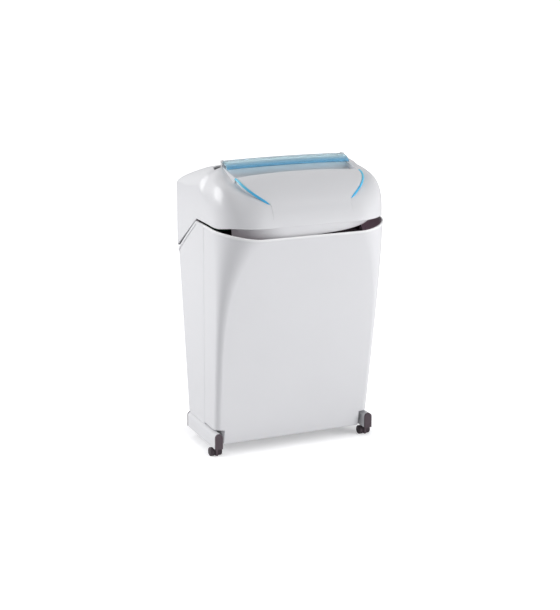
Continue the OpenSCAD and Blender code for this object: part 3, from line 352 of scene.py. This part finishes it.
def bin_outline(z, inset, narrow=False):
    """Left half of the tub, each column at its own height z: the front shell's outline, then the
    step at the seam, the slope behind it, the round back corner and the back wall inside the
    housing."""
    z, inset = np.broadcast_to(z, TUB_COLS), np.broadcast_to(inset, TUB_COLS)
    front = front_outline(z[:FRONT_COLS], inset[:FRONT_COLS])
    across, c, s, step, off = TUB_BACK
    deep = np.maximum(inset[FRONT_COLS:], 0)
    half = (BIN_FOOT_HALF if narrow else BIN_BODY_HALF) - deep
    if narrow:
        front[:, 0] = np.maximum(front[:, 0], -half[0])
    seam = seam_y(z[FRONT_COLS:]) - SEAM_GAP / 2 - deep
    x = c * TUB_BACK_R - across * (half - TUB_BACK_R)
    y = step * (seam + off) + (1 - step) * (BIN_BACK_Y - deep - TUB_BACK_R * (1 - s))
    return np.concatenate([front, np.stack([x, y], -1)])


def bin_tops():
    """Height of the tub's top edge at each column: the rim in front, low inside the housing."""
    back = np.full(TUB_COLS - FRONT_COLS, BIN_BACK_TOP)
    back[0] = BIN_SEAM_TOP
    return np.concatenate([rim_z(front_outline(RIM_FRONT_Z, 0)[:, 1]), back])


def tub_ring(z, inset, narrow=False):
    """Closed ring of the tub, each column at its own height z."""
    return mirrored(np.c_[bin_outline(z, inset, narrow), np.broadcast_to(z, TUB_COLS)])


def bin_ring(share, z0, inset):
    """Ring of the tub: each column at its share of the way from z0 to its top edge."""
    return tub_ring(z0 + (bin_tops() - z0) * share, inset)


def rim_ring(drop, inset):
    """Ring of the tub a set drop below its top edge."""
    return tub_ring(bin_tops() - drop, inset)


def over_rim(wall):
    """Drop below the rim and inset of the rows that run round the bead's outer edge and then round
    the inner edge, both quarter circles."""
    c, s = quarter(5).T
    outer = np.stack([BEAD_EDGE_R * s, BEAD_EDGE_R * c - BEAD_OUT], -1)
    inner = np.stack([BRIM_EDGE_R * c, wall - BRIM_EDGE_R * s], -1)
    return np.concatenate([outer, inner])


def bin_rings():
    """Rings of the tub in three runs: up the outside to the bead, over the rim, and down the
    inside."""
    outside = [tub_ring(BIN_Z + BIN_EDGE_R * c, BIN_EDGE_R * s, True) for c, s in quarter(5)]
    outside += [tub_ring(BIN_STEP_Z, 0, True)]
    outside += [bin_ring(share, BIN_BODY_Z, 0) for share in np.linspace(0, 0.975, 44)]
    outside += [rim_ring(BEAD_LOW, 0), rim_ring(BEAD_UP, -BEAD_OUT)]
    over = [rim_ring(drop, inset) for drop, inset in over_rim(BIN_WALL)]
    foot = BIN_BODY_Z + BIN_WALL
    inside = [bin_ring(share, foot, BIN_WALL) for share in np.linspace(0.97, 0, 24)]
    inside += [tub_ring(z + BIN_WALL, BIN_WALL, True) for z in (BIN_STEP_Z, BIN_Z)]
    return outside, over, inside


def make_bin():
    """The waste bin: one tub, closed by a floor inside and outside, with a mark on the points of
    its bead, where a highlight is painted, and one on those of its inside, where shade and a glow
    are painted."""
    outside, over, inside = bin_rings()
    rings = np.array(outside + over + inside)
    obj = surface("bin_tub", rings, "waste_bin", "waste_bin")
    over_row = len(outside)
    inside_row = over_row + len(over)
    # Marks for the painted highlight on the bead and for the painted shade and glow inside
    for name, first, last in (("painted_shade_and_glow", inside_row, len(rings)), ("bead", over_row, inside_row)):
        mark = np.zeros(rings.shape[:2], np.float32)
        mark[first:last] = 1
        obj.data.attributes.new(name, "FLOAT", "POINT").data.foreach_set("value", mark.ravel())


# Housing

# The same for the housing, but for the last two: the way to the apex, and on to the back corner
HOUSING = columns(
    (1.0, -1.0, 0.0, span(4, first=True), 0.0),
    (1.0, -1.0, 0.0, 1.0, span(12, first=True)),
    (1.0, *turn(180, 90, 12), 1.0, 1.0),
    (1 - span(10), 0.0, 1.0, 1.0, 1.0),
)


def housing_y(seam, back, r):
    """Y of the housing's columns: shares of the way from the seam to the apex, of the way on to the
    back corner, and of the corner's radius."""
    _, _, s, to_apex, to_back = HOUSING
    return seam + (APEX_Y - seam) * to_apex + (back - r - APEX_Y) * to_back + s * r


def housing_row(share, drop, inset):
    """Row of the housing, each column at its share of the height up to a set drop below the rim:
    from the seam over the apex and round the back corner to the back, and the same on the right."""
    across, c = HOUSING[:2]
    top_y = housing_y(seam_y(APEX_Z) + SEAM_GAP / 2, back_y(APEX_Z), BACK_CORNER_R)
    z = FOOT_Z + (rim_z(top_y) - drop - FOOT_Z) * share
    r = max(LEAST_CORNER_R, BACK_CORNER_R - inset)
    x = c * r - across * (half_w(z) - inset - r)
    y = housing_y(seam_y(z) + SEAM_GAP / 2, back_y(z) - inset, r)
    return mirrored(np.stack([x, y, z], -1))


def make_housing():
    """Rear housing: a U-shaped wall, up the outside from its foot, over the bead and down the
    inside."""
    rows = [housing_row(share, BEAD_LOW, 0) for share in np.linspace(0, 1, 20)]
    rows += [housing_row(1, BEAD_UP, -BEAD_OUT)]
    rows += [housing_row(1, drop, inset) for drop, inset in over_rim(WALL)]
    rows += [housing_row(share, BEAD_H, WALL) for share in np.linspace(0.99, 0, 10)]
    surface("housing_shell", np.array(rows), "chassis", "rear_housing", ring="column")


# Head

SHOULDER_LEVEL_Y = HINGE_Y - 16.0
SHOULDER_RISE_Y = 60.0
SHOULDER_RISE_RUN = 80.0
SHOULDER_FRONT_Y = 50.0 - RIM_REACH
SHOULDER_FRONT_RUN = 120.0
CORNER_Y = -60.0
CORNER_RUN = 60.0
SIDE_RUN = 57.0
LOW_EDGE_Y = -70.0
LOW_EDGE_RUN = 50.0


def deck_top(y):
    """Height of the head's top: an even fall to the feed lip in front, and a fall by a power to the
    back."""
    dome = HUMP_Z - LIP_FALL * (HINGE_Y - y) / (HINGE_Y - LIP_Y)
    deck = HUMP_Z - DECK_FALL * (np.maximum(y - HINGE_Y, 0) / (BACK_REACH - HINGE_Y)) ** DECK_N
    return np.where(y < HINGE_Y, dome, deck)


def shoulder_z(y):
    """Height where the head's side wall turns into its shoulder: a set height under the top, raised
    by a smooth step at the back, and down at the crease by another one in front."""
    raised = SHOULDER_RISE * ease((y - SHOULDER_RISE_Y) / SHOULDER_RISE_RUN)
    top = deck_top(np.maximum(y, SHOULDER_LEVEL_Y)) - SHOULDER_H + raised
    return CREASE_TOP + (top - CREASE_TOP) * ease((y - SHOULDER_FRONT_Y) / SHOULDER_FRONT_RUN)


def shoulder_n(y):
    """Power of the shoulder's section: the dome's in front, fullest at the front corners and least
    at the sides, with a smooth step between them."""
    front = DOME_N + (CORNER_N - DOME_N) * ease((y + RIM_REACH) / CORNER_RUN)
    side = SIDE_N + (CORNER_N - SIDE_N) * ease(-y / SIDE_RUN)
    return np.where(y < CORNER_Y, front, side)


def head_low(y):
    """Lower edge of the head's wall: along the rim at the sides, and at the crease in front, with a
    smooth step between them."""
    k = ease((LOW_EDGE_Y - y) / LOW_EDGE_RUN)
    return (rim_z(np.maximum(y, -RIM_REACH)) + HEAD_GAP) * (1 - k) + CREASE_Z * k


def head_sides(y_first):
    """Y of the columns along the head's side, from its front corner to its back corner."""
    front = np.linspace(y_first + 2, HINGE_Y, 12)
    return np.concatenate([front, np.linspace(HINGE_Y + 6, BACK_REACH - 10, 20)])


def head_outline(w, r, y0, y1, side, back_r):
    """Left half of an outline of the head: the front, a corner of radius r, the side's columns, a
    corner of radius back_r and the back."""
    return np.concatenate(
        [
            line(0, y0, r - w, y0, 16),
            arc(r - w, y0 + r, r, 270, 180, 36),
            np.c_[np.full(len(side), -w), side],
            arc(back_r - w, y1 - back_r, back_r, 180, 90, 8),
            line(back_r - w, y1, 0, y1, 8),
        ]
    )


def base_outline(inset):
    """Left half of the head's outline at its side wall."""
    r, y0 = HEAD_CORNER_R - inset, inset - RIM_REACH
    side = head_sides(y0 + r)
    return head_outline(HEAD_HALF - inset, r, y0, BACK_REACH - inset, side, HEAD_BACK_R)


def top_outline(inset):
    """Left half of the head's outline at its top, column for column under base_outline."""
    r, y0 = TOP_CORNER_R - inset, LIP_Y + inset
    side = head_sides(HEAD_CORNER_R - RIM_REACH)
    first = y0 + r + 0.5
    drawn = first + (HINGE_Y - first) * (side - side[0]) / (HINGE_Y - side[0])
    side = np.where(side <= HINGE_Y, drawn, side)
    return head_outline(TOP_HALF - inset, r, y0, BACK_REACH - TOP_BACK_IN, side, TOP_BACK_R)


def head_rows(inset, angles):
    """Rows of the head from the shoulder's foot to the top's outline: at each angle a superellipse
    between the outline of the side wall and the outline of the top, whose power changes along the
    outline."""
    b, p = base_outline(inset), top_outline(inset)
    n = shoulder_n(b[:, 1])
    c, s = np.cos(angles)[:, None] ** (2 / n), np.sin(angles)[:, None] ** (2 / n)
    z0, z1 = shoulder_z(b[:, 1]), deck_top(p[:, 1]) - inset
    xy = p + (b - p) * c[..., None]
    return mirrored(np.concatenate([xy, (z0 + (z1 - z0) * s)[..., None]], -1))


def head_edge(inset, lift):
    """Ring along the head's lower edge."""
    b = base_outline(inset)
    return mirrored(np.c_[b, head_low(b[:, 1]) + lift])


def bridges(rows, cols):
    """Faces that fill a ring across its middle, for the first and the last row."""
    i = np.arange(cols // 2 - 1)
    quads = np.stack([i, i + 1, cols - 2 - i, cols - 1 - i], -1)
    return np.concatenate([quads[:, ::-1], quads + (rows - 1) * cols]).tolist()


def make_head():
    """Head cover: from the inside of its top down to the lower edge and up the outside, then cut
    open for the front panel, the mouth, the flap's pins, the rear panel and the rocker."""
    angles = np.linspace(0.001, math.pi / 2, 48)
    edge = [head_edge(WALL, 0)]
    edge += [head_edge(HEAD_EDGE_R * s, HEAD_EDGE_R * c) for c, s in quarter(4)]
    rings = np.concatenate([head_rows(WALL, angles[::-2]), edge, head_rows(0, angles)])
    caps = bridges(*rings.shape[:2])
    obj = surface("head_shell", rings, "chassis", "head_cover", caps=caps)
    y = panel_y(np.linspace(0, 0.975, 40))
    right = np.stack([panel_half(y), y], -1)
    pin_y, pin_z = (CHUTE_BACK_Y - 1, POCKET_BACK_Y), (CREASE_Z + 60, ABOVE_HEAD)
    back_y0, back_y1 = BACK_REACH - WINDOW_DEEP, BACK_REACH + WINDOW_DEEP
    cut(
        obj,
        prism(np.concatenate([right, right[::-1] * [-1, 1]]), CREASE_Z + 7, ABOVE_HEAD),
        box(-CHUTE_HALF, CHUTE_HALF, LIP_Y - 0.01, CHUTE_BACK_Y, CREASE_Z + 20, ABOVE_HEAD),
        box(-CHUTE_HALF - POCKET_OUT, POCKET_IN - CHUTE_HALF, *pin_y, *pin_z),
        box(CHUTE_HALF - POCKET_IN, CHUTE_HALF + POCKET_OUT, *pin_y, *pin_z),
        box(-WINDOW_HALF, WINDOW_HALF, back_y0, back_y1, WINDOW_Z, WINDOW_Z + WINDOW_H),
        box(*ROCKER_HOLE),
    )


# Front panel and strips

PANEL_RUN = RIM_REACH + LIP_Y
PANEL_EDGE_R = 1.6
PANEL_FOOT_LOW = 5.0
PANEL_FOOT_TOP = 19.0
FLUSH_FROM = 0.79
FLUSH_OVER = 0.1
STRIP_TAPER_TOP = 0.04
STRIP_TAPER_LOW = 0.07
STRIP_TIP = 0.15


def panel_y(share):
    """Y along the front panel, from the feed lip at 0 to the crease at 1."""
    return LIP_Y - PANEL_RUN * share


def panel_half(y):
    """Half width of the front panel: drawn in by a power of the way down to the strips' ends."""
    share = np.clip((LIP_Y - y) / STRIP_RUN, 0, 1)
    return PANEL_TOP_HALF - (PANEL_TOP_HALF - STRIP_LOW_HALF) * share**PANEL_DRAW


def panel_z(x, y):
    """Height of the front panel: a superellipse from lip to crease, with a crown across, that comes
    down to the cover's own section below the strips."""
    f = np.clip((LIP_Y - y) / PANEL_RUN, 0, 1)
    arch = (1 - f**PANEL_N) ** (1 / PANEL_N)
    crown = PANEL_CROWN * (x / CHUTE_HALF) ** 2 * (1 - f)
    proud = CREASE_Z + (LIP_Z - CREASE_Z) * arch - crown
    flush = CREASE_TOP + (HUMP_Z - LIP_FALL - CREASE_TOP) * (1 - f**DOME_N) ** (1 / DOME_N)
    return proud + (flush - proud) * ease((f - FLUSH_FROM) / FLUSH_OVER)


def panel_skin(shares, inset, sink):
    """One skin of the front panel, a row at each share of its run: the crowned top between two
    quarter-round edges, each of which stands on a foot. The inner skin lies inset behind the front
    and sink under the top."""
    y = panel_y(shares)[:, None]
    half = panel_half(y) - inset
    front = y + inset * shares[:, None]

    def at(x, drop):
        """Points at x, each a drop below the panel's height."""
        return np.stack([x, front + 0 * x, panel_z(x, y) - drop], -1)

    c, s = quarter(5).T
    edge = half - PANEL_EDGE_R * s[1:]
    foot = PANEL_FOOT_TOP + (PANEL_FOOT_LOW - PANEL_FOOT_TOP) * shares[:, None]
    right = np.concatenate([at(edge, sink + PANEL_EDGE_R * c[1:]), at(half, foot)], 1)
    left = np.concatenate([at(-edge, sink + PANEL_EDGE_R * c[1:]), at(-half, foot)], 1)
    top = at(np.linspace(-1, 1, 33) * (half - PANEL_EDGE_R), sink)
    return np.concatenate([left[:, ::-1], top, right], 1)


def make_panel():
    """Front panel: an outer and an inner skin, whose sides stand in the cover's window."""
    shares = np.concatenate([np.linspace(0, 0.8, 30), np.linspace(0.83, 0.98, 14)])
    inner = panel_skin(shares, WALL, WALL * np.sqrt(1 - shares**2)[:, None])
    grid = np.concatenate([panel_skin(shares, 0, 0), inner[:, ::-1]], 1)
    surface("front_panel", grid, "chassis", "front_fascia")


def make_strips():
    """Accent strips: round bars along the front panel's edges, whose radius falls towards each end
    by the root of the share of the taper."""
    run = np.linspace(0, 1, 40)
    y = LIP_Y - 1 + (1 - STRIP_RUN) * run
    taper = np.clip(np.minimum(run / STRIP_TAPER_TOP, (1 - run) / STRIP_TAPER_LOW), 0, 1)
    r = STRIP_D / 2 * (STRIP_TIP + (1 - STRIP_TIP) * np.sqrt(taper))[:, None]
    x = panel_half(y) + STRIP_D / 2
    z = panel_z(x, y) - STRIP_SINK
    around = np.linspace(0, 2 * math.pi, 16, endpoint=False)
    px, pz = x[:, None] + r * np.cos(around), z[:, None] + r * np.sin(around)
    for s, side in ((-1, "left"), (1, "right")):
        grid = np.stack([s * px, y[:, None] + 0 * px, pz], -1)
        surface("accent_" + side, grid, "chassis", "accent_strip_" + side, slot="blue_clear")


# Skirt

SKIRT_IN = 7.0
SKIRT_H = 24.0
SKIRT_FLAT = 55.0
SKIRT_LEAN = 0.12
SKIRT_END = 216.0
SKIRT_EDGE_R = 1.2
SKIRT_CUT = 0.62
SKIRT_CUT_X = -12.0


def front_line(w, r, y0):
    """Line along the front from the left end, round the left corner, to the same end on the
    right."""
    half = np.concatenate([line(0, y0, r - w, y0, 20), arc(r - w, y0 + r, r, 270, SKIRT_END, 36)])
    return np.concatenate([half[::-1], half * [-1, 1]])


def skirt_row(t, z):
    """Row of the skirt at depth t in its wall and height z over the crease. Below the crease the
    height shrinks evenly to the right of the cut's start."""
    q = SKIRT_IN + t - min(0.0, z) * SKIRT_LEAN
    xy = front_line(HEAD_HALF - q, HEAD_HALF - SKIRT_IN - SKIRT_FLAT - t, q - RIM_REACH)
    past = np.maximum(0, xy[:, 0] - SKIRT_CUT_X) / (HEAD_HALF - SKIRT_CUT_X)
    return np.c_[xy, CREASE_Z + z * (1 - SKIRT_CUT * past * (z < 0))]


def make_skirt():
    """Front skirt: a leaning wall behind the crease, with a flange out to the cover's inside."""
    inner = front_line(HEAD_HALF - WALL, HEAD_CORNER_R - WALL, WALL - RIM_REACH)
    rows = [skirt_row(SKIRT_EDGE_R * s, SKIRT_EDGE_R * c - SKIRT_H) for c, s in quarter(4)]
    rows += [skirt_row(0, z) for z in (-18, -12, -6, 0, 0.5)]
    rows += [np.c_[inner, np.full(len(inner), CREASE_Z + z)] for z in (0.5, 2.0)]
    rows += [skirt_row(0.5, 2.0), skirt_row(WALL, 2.0)]
    rows += [skirt_row(WALL, z) for z in (0.5, -6, -12, -18, -SKIRT_H)]
    surface("skirt_wall", np.array(rows), "chassis", "front_skirt", ring="column")


# Flap

FLAP_HALF = CHUTE_HALF - 1.6
FLAP_TOP = 600.0
FLAP_BEHIND = 4.0
FLAP_D = 31.5
FLAP_DROP = 11.5
FLAP_LEVEL = 0.12
FLAP_N = 3.2
FLAP_T = 3.0
FLAP_ARCH = 2.0
FLAP_END = 3.0
FLAP_END_DROP = 0.75


def make_flap():
    """Safety flap: a profile whose top falls by a power of the way forward from its level part,
    carried along X. It sinks by the square of the way to its ends, and by a quarter circle's
    fall at them."""
    t = np.linspace(0, 1, 24)
    fall = FLAP_DROP * np.clip((t - FLAP_LEVEL) / (1 - FLAP_LEVEL), 0, 1) ** FLAP_N
    top = np.c_[FLAP_BEHIND - (FLAP_D + FLAP_BEHIND) * t, -fall]
    step = np.gradient(top, axis=0)
    normal = np.c_[-step[:, 1], step[:, 0]] / np.linalg.norm(step, axis=1)[:, None]
    profile = np.concatenate([top, (top + normal * FLAP_T)[::-1]])
    end = np.linspace(FLAP_HALF - FLAP_END, FLAP_HALF, 4)
    x = np.concatenate([-end[::-1], np.linspace(-FLAP_HALF + 6, FLAP_HALF - 6, 50), end])
    edge = np.clip((FLAP_HALF - np.abs(x)) / FLAP_END, 0, 1)
    sunk = FLAP_ARCH * (x / FLAP_HALF) ** 2 + FLAP_END_DROP * (1 - np.sqrt(1 - (1 - edge) ** 2))
    grid = np.empty((len(x), len(profile), 3))
    grid[..., 0] = x[:, None]
    grid[..., 1] = HINGE_Y + profile[:, 0]
    grid[..., 2] = FLAP_TOP + profile[:, 1] - sunk[:, None]
    surface("flap_blade", grid, "safety_flap", "safety_flap", slot="blue_clear")


# Materials


def feed(tree, node, inputs):
    """Gives a node's inputs what they take: a value, or another node's output."""
    for key, value in inputs.items():
        if isinstance(value, bpy.types.NodeSocket):
            tree.links.new(value, node.inputs[key])
        else:
            node.inputs[key].default_value = value


def add_node(tree, kind, inputs=None, **settings):
    """Adds a shader node with its own settings, and feeds its inputs."""
    node = tree.nodes.new("ShaderNode" + kind)
    for key, value in settings.items():
        setattr(node, key, value)
    feed(tree, node, inputs or {})
    return node


def opaque(color):
    """Colour with its alpha."""
    return (*color, 1)


def noise(tree, place, scale, detail=2.0):
    """Noise from 0 to 1."""
    values = {"Vector": place, "Scale": scale, "Detail": detail}
    return add_node(tree, "TexNoise", values).outputs["Fac"]


def drift(tree, place, low, high, scale):
    """Slow noise that moves a value between low and high."""
    values = {"Value": noise(tree, place, scale), "To Min": low, "To Max": high}
    return add_node(tree, "MapRange", values).outputs["Result"]


def mixed(tree, share, first, second):
    """Colour that goes from the first to the second as share goes from 0 to 1."""
    values = {"Factor": share, "A": first, "B": second}
    return add_node(tree, "Mix", values, data_type="RGBA").outputs["Result"]


def tint(tree, place, color, spread, scale):
    """Colour that drifts a little between two close shades."""
    darker = [c * (1 - spread) for c in color]
    return mixed(tree, noise(tree, place, scale), opaque(color), opaque(darker))


def grained(name, scale, strength, distance):
    """New material whose bump is fine noise on Object coordinates, its distance in metres."""
    m = bpy.data.materials.new(name)
    m.use_nodes = True
    tree = m.node_tree
    shader = tree.nodes["Principled BSDF"]
    place = add_node(tree, "TexCoord").outputs["Object"]
    values = {"Height": noise(tree, place, scale, 3.0), "Strength": strength, "Distance": distance}
    feed(tree, shader, {"Normal": add_node(tree, "Bump", values).outputs["Normal"]})
    return m, tree, shader, place


def moulded(name, color, rough, grain=2600.0, strength=0.05, coat=0.0):
    """Moulded plastic: even colour, fine spark-eroded grain and a slow change of gloss."""
    m, tree, shader, place = grained(name, grain, strength, 0.00005)
    values = {
        "Base Color": tint(tree, place, color, 0.03, 9.0),
        "Roughness": drift(tree, place, rough - 0.03, rough + 0.04, 30.0),
        "Coat Weight": coat,
        "Coat Roughness": 0.12,
        "IOR": 1.48,
    }
    feed(tree, shader, values)
    return m


def with_painted_light(name, color, bead, inside, glow, rough):
    """Moulded plastic with a painted highlight on the bead along its rim, and a dark mauve inside
    that is painted shade, on which a faint painted glow stands for light that comes through the
    thin wall. The mesh's marks say where they are."""
    m = moulded(name, color, rough, coat=SHELL_COAT)
    tree = m.node_tree
    shader = tree.nodes["Principled BSDF"]
    on_bead_highlight = add_node(tree, "Attribute", attribute_name="bead").outputs["Fac"]
    on_painted_shade = add_node(tree, "Attribute", attribute_name="painted_shade_and_glow").outputs["Fac"]
    outside = mixed(tree, on_bead_highlight, shader.inputs["Base Color"].links[0].from_socket, opaque(bead))
    # Painted highlight on the bead, painted shade on the inside and a painted glow on it
    values = {
        "Base Color": mixed(tree, on_painted_shade, outside, opaque(inside)),
        "Emission Color": opaque(glow),
        "Emission Strength": on_painted_shade,
    }
    feed(tree, shader, values)
    return m


def metal(name, color, rough):
    """Bare metal with a fine drawn grain."""
    m, tree, shader, place = grained(name, 900.0, 0.08, 0.00004)
    values = {
        "Base Color": tint(tree, place, color, 0.12, 60.0),
        "Roughness": drift(tree, place, rough - 0.06, rough + 0.08, 120.0),
        "Metallic": 1.0,
    }
    feed(tree, shader, values)
    return m


def clear_blue(name, pale, deep, clear, y0=0.0, y1=1.0):
    """Tinted clear acrylic with a faint haze, whose colour deepens from pale at y0 to deep at y1,
    in metres: painted shade.
    """
    m, tree, shader, place = grained(name, 120.0, 0.02, 0.00004)
    y = add_node(tree, "SeparateXYZ", {"Vector": place}).outputs["Y"]
    values = {"Value": y, "From Min": y0, "From Max": y1}
    share = add_node(tree, "MapRange", values, interpolation_type="SMOOTHSTEP").outputs["Result"]
    values = {
        "Base Color": mixed(tree, share, opaque(pale), opaque(deep)),
        "Roughness": drift(tree, place, 0.04, 0.1, 90.0),
        "Transmission Weight": clear,
        "IOR": 1.46,
    }
    feed(tree, shader, values)
    return m


SHELL_WHITE = (0.80, 0.80, 0.815)
SHELL_ROUGH = 0.30
SHELL_COAT = 0.25
# Painted highlight on the bin's bead; painted shade and a painted glow on the bin's inside
BEAD_PAINTED_HIGHLIGHT = (0.97, 0.97, 0.97)
LINING_PAINTED_SHADE = (0.3, 0.2, 0.25)
LINING_PAINTED_GLOW = (0.05, 0.034, 0.043)

MATERIALS = {
    "shell_white": moulded("white_moulding", SHELL_WHITE, SHELL_ROUGH, coat=SHELL_COAT),
    "with_painted_light": with_painted_light(
        "moulding_with_painted_light", SHELL_WHITE, BEAD_PAINTED_HIGHLIGHT, LINING_PAINTED_SHADE, LINING_PAINTED_GLOW, SHELL_ROUGH
    ),
    "dark_plastic": moulded("plum_grey_moulding", (0.095, 0.07, 0.082), 0.45),
    "wheel_rubber": moulded("castor_tread", (0.06, 0.045, 0.053), 0.6, 900.0, 0.2),
    "blue_clear": clear_blue("clear_blue_acrylic", (0.36, 0.72, 0.92), (0.2, 0.6, 0.9), 0.5),
    # Flap deeper in colour towards its lip, strips towards their lower ends: painted shade
    "flap": clear_blue("flap_acrylic", (0.70, 0.90, 0.97), (0.24, 0.60, 0.86), 0.7, -0.010, -0.026),
    "strip": clear_blue("strip_acrylic", (0.2, 0.74, 0.98), (0.1, 0.55, 0.92), 0.12, -0.09, -0.12),
    "sheet_steel": metal("zinc_plated_sheet", (0.62, 0.63, 0.65), 0.38),
    "blacked_steel": metal("blacked_steel", (0.1, 0.075, 0.09), 0.5),
    "tool_steel": metal("ground_steel", (0.5, 0.5, 0.52), 0.3),
    "black_plastic": moulded("black_moulding", (0.03, 0.03, 0.034), 0.45),
    "bronze": metal("sintered_bronze", (0.66, 0.45, 0.22), 0.45),
    "gear_nylon": moulded("natural_nylon", (0.84, 0.81, 0.72), 0.5),
    "motor_enamel": moulded("motor_enamel", (0.05, 0.05, 0.055), 0.35),
    "can_aluminium": metal("drawn_can", (0.75, 0.75, 0.77), 0.3),
    "board_green": moulded("board_resist", (0.04, 0.2, 0.1), 0.35),
}

FINISH = {
    # The bin: painted highlight on its bead, painted shade and a painted glow inside
    "bin_tub": "with_painted_light",
    # Flap and strips deepen in colour along Y: painted shade
    "flap_blade": "flap",
    "accent_left": "strip",
    "accent_right": "strip",
    # The inner pieces seen through the gap under the head take dark blacked steel in place of their
    # own finish: painted shade
    "cutter_side_left": "blacked_steel",
    "cutter_side_right": "blacked_steel",
    "tie_rods": "blacked_steel",
    "chassis_tray": "blacked_steel",
}


def dress():
    """Gives each CAD node and each new piece the material of its slot, or the one under FINISH."""
    slots = {s["node"]: s["material_slot"] for s in frame["record"]["subparts"]}
    pieces = [(obj, name, slots[name]) for name, obj in NODES.items()]
    new = [obj for obj in bpy.data.objects if obj.type == "MESH" and obj.get("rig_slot")]
    pieces += [(obj, obj.name, obj["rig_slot"]) for obj in new]
    for obj, name, slot in pieces:
        obj.data.materials.clear()
        obj.data.materials.append(MATERIALS[FINISH.get(name, slot)])


# Studio, in metres

FLOOR_HALF = 30.0
FOOTPRINT_AT = (0, 0.071, 0)
FOOTPRINT_HALF = (0.165, 0.079, 1)
# Less glow at the footprint paints a shadow round the object
GLOW_PAINTED_SHADOW, GLOW_OPEN, GLOW_RISE = 0.33, 0.62, 0.06
GLOW_FAR, FAR_FROM, FAR_TO = 0.3, 0.6, 2.5
LIT_POINT = (0, 0, 0.3)


def make_floor():
    """White floor that takes the shadow: lit white, with a little added light for the camera only.
    That rises by a smooth step from a low value at the object's footprint, a box, which paints a
    shadow round the object to deepen its contact shadow, and evenly further out, where the lamps
    reach less."""
    mesh = bpy.data.meshes.new("floor")
    r = FLOOR_HALF
    mesh.from_pydata([(-r, -r, 0), (r, -r, 0), (r, r, 0), (-r, r, 0)], [], [(0, 1, 2, 3)])
    obj = new_object("floor", mesh)
    m = bpy.data.materials.new("floor_paper")
    m.use_nodes = True
    tree = m.node_tree
    tree.nodes.clear()
    away = add_node(tree, "TexCoord").outputs["Object"]
    for operation, *value in (
        ("SUBTRACT", FOOTPRINT_AT),
        ("ABSOLUTE",),
        ("SUBTRACT", FOOTPRINT_HALF),
        ("MAXIMUM", (0, 0, 0)),
        ("LENGTH",),
    ):
        step = add_node(tree, "VectorMath", dict(enumerate([away, *value])), operation=operation)
        away = step.outputs["Value" if operation == "LENGTH" else "Vector"]
    # Low glow at the footprint: painted shadow
    values = {"Value": away, "From Max": GLOW_RISE, "To Min": GLOW_PAINTED_SHADOW, "To Max": GLOW_OPEN}
    glow_with_painted_shadow = add_node(tree, "MapRange", values, interpolation_type="SMOOTHSTEP").outputs["Result"]
    values = {"Value": away, "From Min": FAR_FROM, "From Max": FAR_TO, "To Max": GLOW_FAR}
    far = add_node(tree, "MapRange", values).outputs["Result"]
    total = add_node(tree, "Math", {0: glow_with_painted_shadow, 1: far}).outputs[0]
    seen = add_node(tree, "LightPath").outputs["Is Camera Ray"]
    level = add_node(tree, "Math", {0: seen, 1: total}, operation="MULTIPLY").outputs[0]
    paper = add_node(tree, "BsdfDiffuse", {"Color": (0.86, 0.86, 0.87, 1)}).outputs[0]
    glow = add_node(tree, "Emission", {"Strength": level}).outputs[0]
    both = add_node(tree, "AddShader", {0: paper, 1: glow}).outputs[0]
    add_node(tree, "OutputMaterial", {"Surface": both})
    mesh.materials.append(m)


def make_world():
    """Even studio light, white where the camera or a clear piece looks past the floor, and partly
    white in gloss."""
    world = bpy.data.worlds.new("studio")
    bpy.context.scene.world = world
    world.use_nodes = True
    tree = world.node_tree
    tree.nodes.clear()
    soft = {"Color": (0.96, 0.97, 1.0, 1), "Strength": 0.36}
    white = {"Color": (1, 1, 1, 1), "Strength": 1.0}
    rays = add_node(tree, "LightPath").outputs
    direct = {0: rays["Is Camera Ray"], 1: rays["Is Transmission Ray"]}
    direct = add_node(tree, "Math", direct, operation="MAXIMUM").outputs[0]
    seen = {0: rays["Is Glossy Ray"], 1: 0.35, 2: direct}
    share = add_node(tree, "Math", seen, operation="MULTIPLY_ADD").outputs[0]
    soft, white = (add_node(tree, "Background", light).outputs[0] for light in (soft, white))
    mix = add_node(tree, "MixShader", {0: share, 1: soft, 2: white}).outputs[0]
    add_node(tree, "OutputWorld", {"Surface": mix})


def area_light(name, place, size, power, in_gloss):
    """Square soft box at place that faces LIT_POINT, seen or not seen in gloss. It turns about Z by
    the angle of its way there in plan, and tips by the angle of that way below the level."""
    data = bpy.data.lights.new(name, "AREA")
    data.size = size
    data.energy = power
    obj = new_object(name, data)
    obj.visible_glossy = in_gloss
    obj.location = place
    x, y, z = np.array(LIT_POINT) - np.array(place)
    yaw = math.atan2(y, x) - math.pi / 2
    pitch = math.atan2(-z, math.hypot(x, y))
    obj.rotation_euler = (math.pi / 2 - pitch, 0, yaw)


def make_lights():
    """Key from the left and behind, a low second lamp from the right and in front, and one above
    the back."""
    area_light("key", (-2.29, 1.32, 1.71), 1.9, 52, True)
    area_light("second", (2.14, -2.06, 0.76), 1.5, 56, False)
    area_light("back", (0.0, 1.72, 2.76), 1.5, 16, False)


CAMERA_AT = (-1.1927, -2.6949, 1.0593)
CAMERA_DOWN = 14.6
CAMERA_TURN = -23.7
FOCAL_PX = 1479.2


def make_camera():
    """Camera at the photograph's place, from the fit of the object's edges."""
    cam = bpy.data.cameras.new("camera")
    cam.sensor_fit = "HORIZONTAL"
    cam.sensor_width = 36.0
    cam.lens = cam.sensor_width * FOCAL_PX / PHOTO_W
    obj = new_object("camera", cam)
    obj.location = CAMERA_AT
    obj.rotation_euler = (math.radians(90 - CAMERA_DOWN), 0, math.radians(CAMERA_TURN))
    bpy.context.scene.camera = obj


make_bin()
make_housing()
make_head()
make_panel()
make_strips()
make_skirt()
make_flap()
dress()
make_floor()
make_world()
make_lights()
make_camera()
bpy.context.scene.view_settings.view_transform = "Standard"
